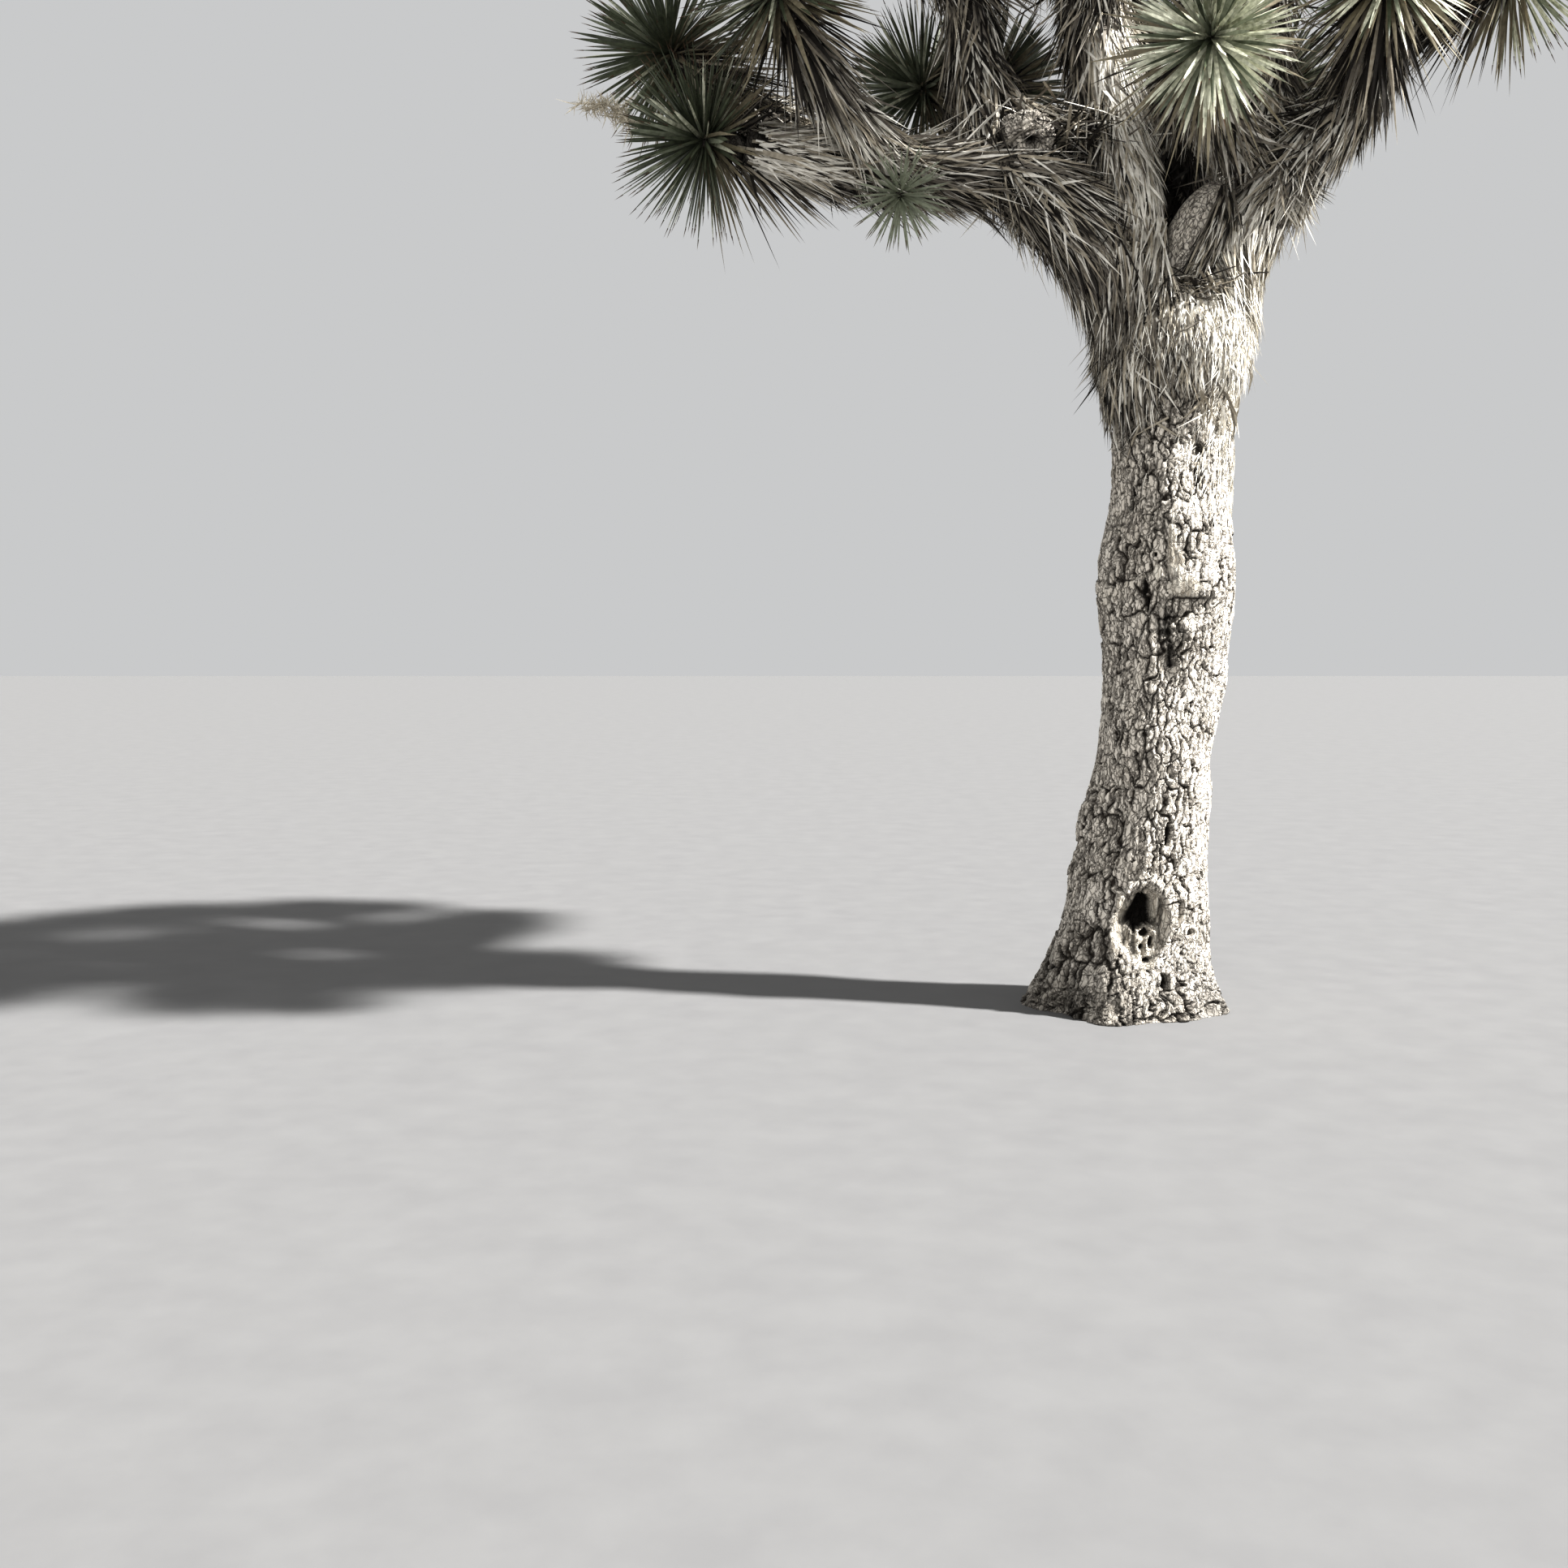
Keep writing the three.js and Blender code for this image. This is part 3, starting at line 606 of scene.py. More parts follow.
# %% The slanting fold and the ledge
def add_fold_and_ledge(bark, angle, z):
    """A fold that climbs to the right with a groove beside it, and a ledge over an undercut."""
    (low, low_angle), (high, high_angle) = FOLD["low"], FOLD["high"]
    share = np.clip((z - low) / (high - low), 0, 1)
    ridge = low_angle + (high_angle - low_angle) * share
    turn = (angle - np.radians(ridge) + np.pi) % (2 * np.pi) - np.pi
    beside = turn * SHAFT_RADIUS / FOLD["width"]
    bark["relief"] += FOLD["rise"] * np.exp(-(beside**2)) * np.sin(np.pi * share)
    bark["relief"] -= FOLD["groove"] * np.exp(-(((beside + 1.7) / 0.5) ** 2)) * np.sin(np.pi * share)

    below = LEDGE["height"] + 0.006 * uneven(angle, z, 50, 10, 17) - z
    near = np.exp(-((across_bark(angle, z, LEDGE["angle"]) / LEDGE["width"]) ** 4))
    undercut = LEDGE["drop"] * near * smoothstep(below, 0, 0.008)
    brow = LEDGE["rise"] * near * smoothstep(-below, -0.004, 0.002)
    bark["relief"] -= undercut * (1 - smoothstep(below, 0.015, 0.1))
    bark["relief"] += brow * (1 - smoothstep(-below, 0.01, 0.05))
    # Painted shadow: a dark line just under the ledge's brow.
    bark["cracked"] = np.maximum(bark["cracked"], near * np.exp(-(((below - 0.004) / 0.006) ** 2)))


# %% Scars and rotted holes
def add_scars_and_holes(bark, angle, z):
    """Scars are pitted and partly rotten, and each hole has a slightly raised rim."""
    for place in SCARS.values():
        scar = 1 - smoothstep(mark(angle, z, place, 0.45, (30, 40, 20)), 0.55, 1.1)
        pits = smoothstep(uneven(angle, z, 56, 70, 14), 0.05, 0.5)
        bark["relief"] += scar * (0.006 * uneven(angle, z, 44, 60, 15) - 0.005 - 0.015 * pits)
        bark["rot"] = np.maximum(bark["rot"], scar * (0.3 + 0.6 * pits))
    for *place, depth in ROT_HOLES.values():
        around = mark(angle, z, place, 0.25, (60, 90, 13))
        inside = 1 - smoothstep(around, 0.45, 1.0)
        bark["relief"] += 0.004 * np.exp(-(((around - 1.3) / 0.3) ** 2)) - depth * inside
        # The inside of each hole is coloured dark, from rot and painted shade together.
        bark["rot"] = np.maximum(bark["rot"], smoothstep(inside, 0.1, 0.8))


# %% The hollow in its recess
def add_hollow(bark, angle, z, recess, lip):
    """A pointed hollow, deepest in the recess, whose floor is splintered and half rotten."""
    share = (z - VOID["base"]) / VOID["tall"] + 0.12 * uneven(angle, z, 60, 60, 28)
    half = VOID["half"] * np.sqrt(np.clip(1 - share, 0.003, 1)) * (1 + 0.3 * uneven(angle, z, 40, 56, 22))
    around = np.abs(across_bark(angle, z, VOID["angle"])) / half
    around = around + 7 * np.maximum(-share, 0) + 7 * np.maximum(share - 1, 0)
    inside = 1 - smoothstep(around, 0.7, 1.05)
    splinters = 0.006 * uneven(angle, z, 130, 14, 23) + 0.006 * uneven(angle, z, 50, 60, 24)
    bark["relief"] += RECESS["lip"] * lip - RECESS["depth"] * recess - VOID["depth"] * inside
    bark["relief"] += recess * splinters
    half_rotten = 0.75 * recess * smoothstep(uneven(angle, z, 90, 26, 25), 0.05, 0.5)
    # The inside of the hollow is coloured near black, from rot and painted shade together; its floor is half
    # rotten.
    bark["rot"] = np.maximum(bark["rot"], np.maximum(smoothstep(inside, 0.2, 0.7), half_rotten))


# %% The whole of the trunk's bark
FOOT_DARKENING = {"share": 0.66, "height": 0.3}
UNDER_COLLAR = (2.22, 2.34)


def trunk_bark(angle, z):
    """How far the bark stands out, how cracked, bare and rotten it is, and where it carries painted shade,
    place by place.
    """
    grain, cracked = cork(angle, z)
    bare = bare_wood(angle, z)
    recess, lip = recess_and_lip(angle, z)
    smooth = 1 - np.maximum(0.9 * np.maximum(bare, recess), 0.3 * lip)
    relief = grain * smooth + 0.003 * bare * (1 + uneven(angle, z, 70, 20, 12))
    relief += 0.005 * uneven(angle, z, 13, 20, 12)
    bark = dict(relief=relief, cracked=cracked * smooth, rot=np.zeros(z.shape))
    bark["bare"] = np.maximum(bare, 0.75 * recess)
    add_toes_and_steps(bark, angle, z)
    add_fold_and_ledge(bark, angle, z)
    add_scars_and_holes(bark, angle, z)
    add_hollow(bark, angle, z, recess, lip)
    # Darker towards the ground.
    darkened = FOOT_DARKENING["share"] * np.exp(-((z / FOOT_DARKENING["height"]) ** 2))
    darkened = darkened * (0.8 + 0.5 * uneven(angle, z, 30, 40, 29))
    # Painted shade: the bark under the collar, on the side turned from the key light, is coloured dark.
    hidden = smoothstep(z, *UNDER_COLLAR)
    shaded = smoothstep(-np.cos(angle - math.radians(-5)), -0.35, 0.35)
    bark["rot"] = np.maximum(bark["rot"], np.maximum(darkened, 0.85 * hidden * shaded))
    bark["cracked"] = bark["cracked"] * (1 - hidden)
    ends = smoothstep(z, -0.01, 0.012) * (1 - smoothstep(z, 2.25, 2.36))
    bark["relief"] = bark["relief"] * ends
    return bark


# %% [markdown]
# The bark's colour follows its shape. Plates are weathered grey-brown, cracks are darker, bare
# wood is paler and smoother, and the inside of a rotted hole is almost black, from rot and
# painted shade together. Painted shade also darkens the cracks on the side turned from the key
# light, a line under the ledge, the bark under the collar on that side, and the boughs' wood
# under their thatch. The relief leaves those shares on the mesh's corners, so the colour can't
# drift away from the cracks. Splits too fine for the grid are drawn by the material alone, as a
# second net of small upright cells.

# %% The bark's material
BARK_TONES = {"pale": (0.88, 0.825, 0.74), "dark": (0.6, 0.55, 0.475)}
BARE_TONES = (0.42, 0.37, 0.3, 1), (0.88, 0.83, 0.73, 1)
SPLIT_TONE = (0.16, 0.135, 0.11, 1)
# The crack tone colours real cracks and the painted shade in and under them; the rot tone colours rotten wood
# and the painted shade of holes, of the collar's underside and of thatched wood.
CRACK_AND_SHADE_TONE = (0.035, 0.028, 0.022, 1)
ROT_AND_SHADE_TONE = (0.018, 0.015, 0.012, 1)


def bark_material():
    finish = dict(fineness=110, bump=0.008, roughness=(0.8, 1.0), specular=0.12, stretch=(1, 1, 0.28))
    material = weathered("corky_bark", **BARK_TONES, **finish)
    tree = material.node_tree
    shader, tones = tree.nodes["Principled BSDF"], tree.nodes["tones"]
    place = put(tree, "ShaderNodeTexCoord").outputs["Object"]
    drawn = put(tree, "ShaderNodeVectorMath", {"operation": "MULTIPLY"}, _0=place, _1=(1, 1, 0.45))
    bend = put(tree, "ShaderNodeTexNoise", Vector=place, Scale=34.0, Detail=3.0).outputs["Color"]
    bent = put(tree, "ShaderNodeVectorMath", {"operation": "MULTIPLY_ADD"}, _0=bend, _1=(0.03, 0.03, 0.03))
    tree.links.new(drawn.outputs[0], bent.inputs[2])
    edges = {"feature": "DISTANCE_TO_EDGE"}
    cells = put(tree, "ShaderNodeTexVoronoi", edges, Vector=bent.outputs[0], Scale=62.0)
    split = put(tree, "ShaderNodeMapRange", _0=cells.outputs["Distance"], _1=0.01, _2=0.1, _3=0.62, _4=0.0)
    shares = {
        name: put(tree, "ShaderNodeAttribute", {"attribute_name": name}).outputs["Fac"]
        for name in ("cracked", "bare", "rot")
    }
    streaks = put(tree, "ShaderNodeVectorMath", {"operation": "MULTIPLY"}, _0=place, _1=(1, 1, 0.08))
    grain = put(tree, "ShaderNodeTexNoise", Vector=streaks.outputs[0], Scale=130.0, Detail=3.0)
    spread = put(tree, "ShaderNodeMapRange", _0=grain.outputs[0], _1=0.35, _2=0.65)
    wood = blended(tree, spread.outputs[0], *BARE_TONES)
    colour = blended(tree, split.outputs[0], tones.outputs["Color"], SPLIT_TONE)
    colour = blended(tree, shares["bare"], colour, wood)
    colour = blended(tree, shares["cracked"], colour, CRACK_AND_SHADE_TONE)
    colour = blended(tree, shares["rot"], colour, ROT_AND_SHADE_TONE)
    tree.links.new(colour, shader.inputs["Base Color"])
    fibre = tones.outputs["Fibre"]
    sunk = put(tree, "ShaderNodeMath", {"operation": "SUBTRACT"}, _0=fibre, _1=split.outputs[0])
    raised = shader.inputs["Normal"].links[0].from_node
    tree.links.new(sunk.outputs[0], raised.inputs["Height"])
    return material


BARK = bark_material()
print("the bark's material has", len(BARK.node_tree.nodes), "nodes")

# %% Wrap the bark round the trunk, in three lengths that share their rows
BARK_COLUMNS, BARK_ROWS = 360, 260
BARK_LENGTHS = {"foot": (0.0, 0.8), "middle": (0.8, 1.62), "top": (1.62, TRUNK_TOP)}

for part, (low, high) in BARK_LENGTHS.items():
    sheet = tube_sheet(BARK_COLUMNS, BARK_ROWS)
    bark_mesh = bpy.data.meshes.new("trunk_bark_" + part)
    sheet.to_mesh(bark_mesh)
    sheet.free()
    rolled = corners_of(bark_mesh)
    angle, z = np.arctan2(rolled[:, 1], rolled[:, 0]), low + rolled[:, 2] * (high - low)
    bark = trunk_bark(angle, z)
    relief = bark.pop("relief")
    places = beside_trunk(trunk_radius(z, angle) + relief, angle, z)[0]
    bark_mesh.vertices.foreach_set("co", places.ravel())
    give(bark_mesh, **bark)
    add_piece("trunk_bark_" + part, bark_mesh, BARK, ["trunk"])
    print("its relief goes from", relief.min().round(3), "to", relief.max().round(3), "m")

# %% [markdown]
# ## Wood of the boughs
#
# A bough is thatched with its own dead leaves, and only a little of its bark shows between
# them. Each bough gets a tube of bark well inside the solid's outline, and the space between
# is for the leaves. Two places stay bare on this tree: a smooth boss in the crook of the right
# bough, and a rough burl with a hollow where the left bough's limbs part.

# %% Bark tubes along every bough and shoot
WOOD_SHARE = 0.66
LIMB_COLUMNS, LIMB_ROWS = 18, 26
SHOOT_COLUMNS, SHOOT_ROWS = 10, 5
WOOD_SEEDS = {"boughs": 40, "shoots": 80, "young_shoot": 200}


def wood_along(limb, columns, rows, seed):
    """A bough's wood as a closed tube with plated bark, and how cracked its corners are."""
    sheet = tube_sheet(columns, rows)
    points = np.array([corner.co for corner in sheet.verts])
    angle, share = np.arctan2(points[:, 1], points[:, 0]), points[:, 2]
    centre, _, side, over, radius = limb.place(share)
    edge, lift = plates(angle / (2 * np.pi), share * 14, 10, 14, 0.05, 0.06, seed)
    crack = 1 - smoothstep(edge, 0.002, 0.01)
    reach = radius * WOOD_SHARE + 0.004 * lift - 0.008 * crack
    out = side * np.cos(angle)[:, None] + over * np.sin(angle)[:, None]
    for corner, place in zip(sheet.verts, centre + out * reach[:, None]):
        corner.co = place
    return sheet, crack


def joined_sheets(name, sheets, shadow=0.85):
    """Several small bmeshes as one mesh. Wood under thatch is coloured dark by painted shade, so its rot
    share starts at the shadow value.
    """
    whole = bmesh.new()
    cracks = []
    for sheet, crack in sheets:
        held = bpy.data.meshes.new("held")
        sheet.to_mesh(held)
        sheet.free()
        whole.from_mesh(held)
        bpy.data.meshes.remove(held)
        cracks.append(crack)
    mesh = bpy.data.meshes.new(name)
    whole.to_mesh(mesh)
    whole.free()
    cracks = np.concatenate(cracks)
    give(mesh, cracked=cracks, bare=cracks * 0, rot=np.full(len(cracks), shadow))
    return mesh


bough_wood = [
    wood_along(limb, LIMB_COLUMNS, LIMB_ROWS, WOOD_SEEDS["boughs"] + k)
    for k, limb in enumerate(limbs.values())
]
add_piece("bough_bark", joined_sheets("bough_bark", bough_wood), BARK, list(limbs))
shoot_wood = [
    wood_along(stem, SHOOT_COLUMNS, SHOOT_ROWS, WOOD_SEEDS["shoots"] + k)
    for k, stem in enumerate(stems)
]
add_piece("shoot_bark", joined_sheets("shoot_bark", shoot_wood), BARK, list(masses))

# %% The boss and the burl
SWELLINGS = {
    "crook_boss": dict(
        on="right_bough", centre=(0.2, -0.045, 2.655), half=(0.105, 0.105, 0.215), lean=24,
        lumpy=0.05, grainy=0.004, split=0.024, deep=0.018,
    ),
    "fork_burl": dict(
        on="left_bough", centre=(-0.4, -0.135, 2.99), half=(0.105, 0.08, 0.085), lean=20,
        lumpy=0.3, grainy=0.1, split=0.05, deep=0.09, mouth=(0.42, -0.8, -0.42),
    ),
}
SWELLING_PLATES = 230
# Where thatch stays off each one: the shift of the bare spot along its first axis, and its reach.
KEPT_BARE = {"crook_boss": (-0.35, 0.92), "fork_burl": (0.1, 0.95)}


def leaning(points, degrees):
    """Turns points about +Y, so that their tops lean towards +X."""
    c, s = math.cos(math.radians(degrees)), math.sin(math.radians(degrees))
    x, y, z = points.T
    return np.stack([c * x + s * z, y, c * z - s * x], axis=1)


def add_swelling(name, on, centre, half, lean, lumpy, grainy, split, deep, mouth=None):
    """A ball of bark with scattered plates, and maybe a mouth, pressed to its size and leant over."""
    ball = bmesh.new()
    bmesh.ops.create_icosphere(ball, subdivisions=6, radius=1)
    for face in ball.faces:
        face.smooth = True
    points = np.array([corner.co for corner in ball.verts])
    rng = np.random.default_rng(SWELLING_PLATES)
    seats = unit(rng.normal(size=(SWELLING_PLATES, 3)))
    bent = points + 0.06 * np.sin(9 * points[:, [1, 2, 0]] + 1) * np.sin(7 * points[:, [2, 0, 1]])
    away = np.sort(np.linalg.norm(bent[:, None] - seats[None], axis=2), axis=1)[:, :2]
    crack = 1 - smoothstep(away[:, 1] - away[:, 0], 0.004, split)
    lumps = sum(np.sin(k * points @ unit(rng.normal(size=3)) + k) / k for k in (3, 5, 8, 13))
    grain = sum(np.sin(k * points @ unit(rng.normal(size=3)) + k) for k in (23, 31, 43, 57)) / 4
    rot = darkened = np.zeros(len(points))
    bumps = lumpy * lumps + grainy * grain
    if mouth:
        inward = (points - unit(np.array(mouth))) * [0.8, 1, 1.1]
        rot = 1 - smoothstep(np.linalg.norm(inward, axis=1), 0.2, 0.42)
        rim = np.exp(-(((rot - 0.15) / 0.15) ** 2)) * (rot > 0.01)
        bumps = bumps + 0.12 * rim - 0.55 * rot - 0.12
        darkened = 0.5 * smoothstep(-lumps, 0.1, 0.9)
    reach = 1 + bumps - deep * crack
    places = np.array(centre) + leaning(points * reach[:, None] * np.array(half), lean)
    for corner, place in zip(ball.verts, places):
        corner.co = place
    mesh = bpy.data.meshes.new(name)
    ball.to_mesh(mesh)
    ball.free()
    # The mouth is coloured dark from rot and painted shade, and painted shade darkens the bark where the
    # lumps sink.
    give(mesh, cracked=crack * 0.8, bare=np.zeros(len(points)), rot=np.maximum(rot, darkened))
    add_piece(name, mesh, BARK, [on])


for name, shape in SWELLINGS.items():
    add_swelling(name, **shape)

# %% [markdown]
# ## A leaf, and how many are laid
#
# Every leaf of this tree is a dagger: flat on the side that faces the light, keeled beneath,
# and drawn to a point. A three-sided cone is that shape already. Planes cut it across where it
# should be widened, and each ring of corners is scaled to the width a leaf has there. One small
# template is then laid down thousands of times by array sums, each with its own root,
# direction, size, twist and sag. A particle system would be quicker to set up, but its
# instances don't leave Blender with the model.

# %% Leaf templates
def blade(stations):
    """A blade from z 0 to 1, its flat face towards +Y, as corners and triangles. Each station
    is a share of its length and its width there."""
    shape = bmesh.new()
    bmesh.ops.create_cone(shape, cap_ends=True, segments=3, radius1=1, radius2=0, depth=1)
    bmesh.ops.translate(shape, verts=shape.verts, vec=(0, 0, 0.5))
    for share, _ in stations[1:]:
        cut = shape.verts[:] + shape.edges[:] + shape.faces[:]
        bmesh.ops.bisect_plane(shape, geom=cut, plane_co=(0, 0, share), plane_no=(0, 0, 1))
    widths = dict(stations)
    for corner in shape.verts:
        share = round(corner.co.z, 4)
        swell = widths.get(share, 0) / max(1 - share, 1e-6)
        x, y = corner.co.x * swell, corner.co.y * swell
        corner.co = (-x / 1.732, -(y + 0.5 * swell * (1 - share)) / 1.5, corner.co.z)
    bmesh.ops.triangulate(shape, faces=shape.faces)
    points = np.array([corner.co for corner in shape.verts])
    faces = np.array([[corner.index for corner in face.verts] for face in shape.faces])
    shape.free()
    return points, faces


LIVE_BLADE = blade([(0.0, 0.85), (0.15, 1.0), (0.74, 0.66)])
DEAD_BLADE = blade([(0.0, 0.85), (0.5, 0.9)])
SPINE_BLADE = blade([(0.0, 1.0)])
for label, (points, faces) in {"live": LIVE_BLADE, "dead": DEAD_BLADE, "spine": SPINE_BLADE}.items():
    print(label, "blade:", len(points), "corners,", len(faces), "triangles")


# %% Lay a template many times
def laid(template, root, along, side, length, width, thick, sag=None, twist=None):
    """Corner places and triangles of one copy for each row of the arrays."""
    points, faces = template
    x, y, z = points.T
    count = len(root)
    side = unit(side - along * np.sum(side * along, axis=1, keepdims=True))
    facing = np.cross(along, side)
    turn = np.zeros(count) if twist is None else twist
    turn = turn[:, None] * z
    across = (np.cos(turn) * x * width[:, None]) - (np.sin(turn) * y * thick[:, None])
    out = (np.sin(turn) * x * width[:, None]) + (np.cos(turn) * y * thick[:, None])
    places = root[:, None] + along[:, None] * (z * length[:, None])[..., None]
    places = places + side[:, None] * across[..., None] + facing[:, None] * out[..., None]
    if sag is not None:
        places = places + sag[:, None] * (z**2)[:, None]
    triangles = faces[None] + (np.arange(count) * len(points))[:, None, None]
    return places.reshape(-1, 3), triangles.reshape(-1, 3)


def laid_mesh(name, *parts):
    """One mesh from several runs of laid copies."""
    places, triangles, base = [], [], 0
    for points, faces in parts:
        places.append(points)
        triangles.append(faces + base)
        base += len(points)
    mesh = bpy.data.meshes.new(name)
    mesh.from_pydata(np.concatenate(places), [], np.concatenate(triangles), shade_flat=True)
    return mesh


def chosen(leaves, mask):
    return {key: values[mask] for key, values in leaves.items()}


def merged(groups):
    return {key: np.concatenate([group[key] for group in groups]) for key in groups[0]}


def partway(leaves, share=0.6):
    """The places at one share of the leaves' length, by default a little past their middle."""
    return leaves["root"] + leaves["along"] * (leaves["length"] * share)[:, None]


# %% [markdown]
# ## Thatch
#
# Dead leaves stay on the boughs for decades. They point back towards the trunk, lie over each
# other like thatch, bleach to grey and straw, and their tips make a fringe under the bough.
# Cards with a hair picture would be lighter, but the fringe shows against the sky, so each dead
# leaf is its own blade. Roots are scattered over the wood, and each leaf leaves it at the angle
# that brings its tip to the solid's outline. Where wind and sun have worn the thatch, only
# short bleached stubs of leaves are left over it; on the centre bough and the left outer limb
# these pale patches also stand in for sunlight, as painted light.

# %% Where the thatch is worn
# A patch lies on the side of a limb that is turned towards a direction by more than its beyond,
# from its first share of the limb's length to its last.
LEFT_ON_WORN = 0.3
LEFT_OVER_WORN = 0.25
WORN = {
    "right_bough": dict(toward=direction(-30, -25), beyond=0.25, first=-0.05, last=0.62),
    "centre_bough": dict(toward=direction(-25, 0), beyond=0.35, first=0.1, last=0.9),
    "left_outer": dict(toward=direction(-80, 15), beyond=0.3, first=0.7, last=0.97),
}


def from_worn_spots(leaves):
    """How far leaves lie from the middle of the nearest worn patch, in radii of its limb."""
    middle = partway(leaves)
    far = np.full(len(middle), np.inf)
    for name, patch in WORN.items():
        centre, _, _, _, radius = limbs[name].place(np.linspace(patch["first"], patch["last"], 8)[1:-1])
        for spot, reach in zip(centre + patch["toward"] * radius[:, None], radius):
            far = np.minimum(far, np.linalg.norm(middle - spot, axis=1) / reach)
    return far


def off_worn_spots(leaves, rng, clearance=0.85):
    """True for the leaves that don't lie over a worn patch, and for a few of those that do."""
    return (from_worn_spots(leaves) > clearance) | (rng.random(len(leaves["root"])) < LEFT_OVER_WORN)


# %% Dead leaves along a limb
THATCH_PER_M2 = 2250
DEAD_LEAF = {"short": 0.16, "long": 0.3, "width": 0.0115}
STRAY = {"share": 0.08, "splay": (8, 30), "swerve": 24}


def around_limb(limb, rng, count, first, last):
    """Scattered places round a limb: their share of it, its frame there and the way out."""
    share = rng.uniform(first, last, count)
    centre, along, side, over, radius = limb.place(share)
    return share, centre, along, tilted(side, over, rng.uniform(0, 360, count)), radius


def dead_leaves(limb, rng, density=THATCH_PER_M2, first=0.0, last=1.0, longest=DEAD_LEAF["long"]):
    """Roots, directions and sizes of a limb's dead leaves."""
    count = int(density * np.pi * (limb.radius + limb.tip) * limb.length * (last - first))
    share, centre, along, out, radius = around_limb(limb, rng, count, first, last)
    length = rng.uniform(DEAD_LEAF["short"], longest, count)
    gap = radius * (1.02 - WOOD_SHARE) + 0.01
    splay = np.degrees(np.arcsin(np.clip(gap / length, 0, 0.7))) * rng.uniform(0.3, 1.15, count)
    stray = rng.random(count) < STRAY["share"]
    splay = np.where(stray, splay + rng.uniform(*STRAY["splay"], count), splay)
    swerve = rng.normal(0, 16, count) + np.where(stray, rng.normal(0, STRAY["swerve"], count), 0)
    around = np.cross(along, out)
    aim = unit(tilted(-along, out, splay) + around * np.tan(np.radians(swerve))[:, None])
    under = np.clip(0.5 - out[:, 2], 0.1, 1.4)
    level = np.sqrt(np.clip(1 - along[:, 2] ** 2, 0, 1))
    sag = -UP * (length * under * (0.02 + 0.1 * level) * rng.uniform(0.2, 1.4, count))[:, None]
    root = centre + out * (radius * WOOD_SHARE * 0.97)[:, None]
    leaves = dict(root=root, along=aim, side=around, length=length, sag=sag, out=out)
    if limb.name in WORN:
        patch = WORN[limb.name]
        worn = (out @ patch["toward"] > patch["beyond"]) & (share > patch["first"]) & (share < patch["last"])
        leaves = chosen(leaves, ~worn | (rng.random(count) < LEFT_ON_WORN))
    return leaves


# %% Short stubs over a worn patch
STUB = {"per_m2": 5200, "length": (0.05, 0.12)}


def worn_leaves(limb, toward, beyond, first, last, rng):
    """The short stubs over a worn patch."""
    count = int(STUB["per_m2"] * np.pi * (limb.radius + limb.tip) * limb.length * (last - first))
    _, centre, along, out, radius = around_limb(limb, rng, count, first, last)
    around = np.cross(along, out)
    swerve = np.tan(np.radians(rng.normal(0, 11, count)))
    aim = unit(tilted(-along, out, rng.uniform(2, 20, count)) + around * swerve[:, None])
    length = rng.uniform(*STUB["length"], count)
    root = centre + out * (radius * rng.uniform(0.78, 0.9, count))[:, None]
    sag = -UP * (0.03 * length)[:, None]
    leaves = dict(root=root, along=aim, side=around, length=length, sag=sag, out=out)
    return chosen(leaves, out @ toward > beyond - 0.1 * rng.random(count))


# %% Turn leaves down at the fork, and comb them
def turned_down(leaves, rng):
    """Turns the leaves at the fork down over the trunk, so the boughs' thatch runs on into it."""
    x, y, z = leaves["root"].T
    x = x - trunk_axis(TRUNK_TOP)
    away = np.hypot(x, y)
    out = np.stack([x / away, y / away, 0 * z], axis=1)
    turned = 0.88 * (1 - smoothstep(z, 2.55, 3.0)) * (1 - smoothstep(away, 0.34, 0.55))
    clear = np.clip((0.27 - away) / np.maximum(z - 2.33, 0.05), -0.25, 1.1)
    down = unit(out * clear[:, None] - UP + rng.normal(0, 0.12, out.shape))
    along = unit(leaves["along"] * (1 - turned)[:, None] + down * turned[:, None])
    return dict(leaves, along=along)


def combed(leaves, rng, near=0.03, stray=0.07):
    """Brings the tips that would stand away from every limb back to the nearest one."""
    tip = partway(leaves, 1) + leaves["sag"]
    low = np.linspace(1.9, 2.4, 12)
    middles = [np.stack([trunk_axis(low), 0 * low, low], axis=1)]
    reaches = [trunk_radius(low, 0.0)]
    for limb in limbs.values():
        centre, _, _, _, radius = limb.place(np.linspace(0, 1, 20))
        middles.append(centre)
        reaches.append(radius)
    gap = np.full(len(tip), 9.0)
    goal = tip.copy()
    allowed = near + rng.exponential(stray * 0.4, len(tip))
    for middle, reach in zip(np.concatenate(middles), np.concatenate(reaches)):
        apart = tip - middle
        away = np.linalg.norm(apart, axis=1)
        nearer = away - reach < gap
        gap = np.where(nearer, away - reach, gap)
        held = middle + apart * ((reach + allowed) / away)[:, None]
        goal = np.where(nearer[:, None], held, goal)
    far = (gap > allowed)[:, None]
    span = np.where(far, goal, tip) - leaves["sag"] - leaves["root"]
    return dict(leaves, along=unit(span), length=np.linalg.norm(span, axis=1))


# %% Leaves that a bare place or the trunk leaves no room for
def clear_of_swellings(leaves):
    """True for the leaves that stay outside the bare boss and burl."""
    clear = np.ones(len(leaves["root"]), bool)
    for share in (0, 0.5, 0.9):
        for name, shape in SWELLINGS.items():
            shift, reach = KEPT_BARE[name]
            points = partway(leaves, share) - np.array(shape["centre"])
            held = leaning(points, -shape["lean"]) / np.array(shape["half"])
            clear &= np.linalg.norm(held - [shift, 0, 0], axis=1) > reach
    return clear


def outside_trunk(leaves):
    """True for the leaves whose middle isn't buried in the trunk."""
    x, y, z = partway(leaves).T
    held = np.clip(z, 0, TRUNK_TOP)
    away = np.hypot(x - trunk_axis(held), y)
    return (z > TRUNK_TOP) | (away > trunk_radius(held, np.arctan2(y, x)) - 0.03)


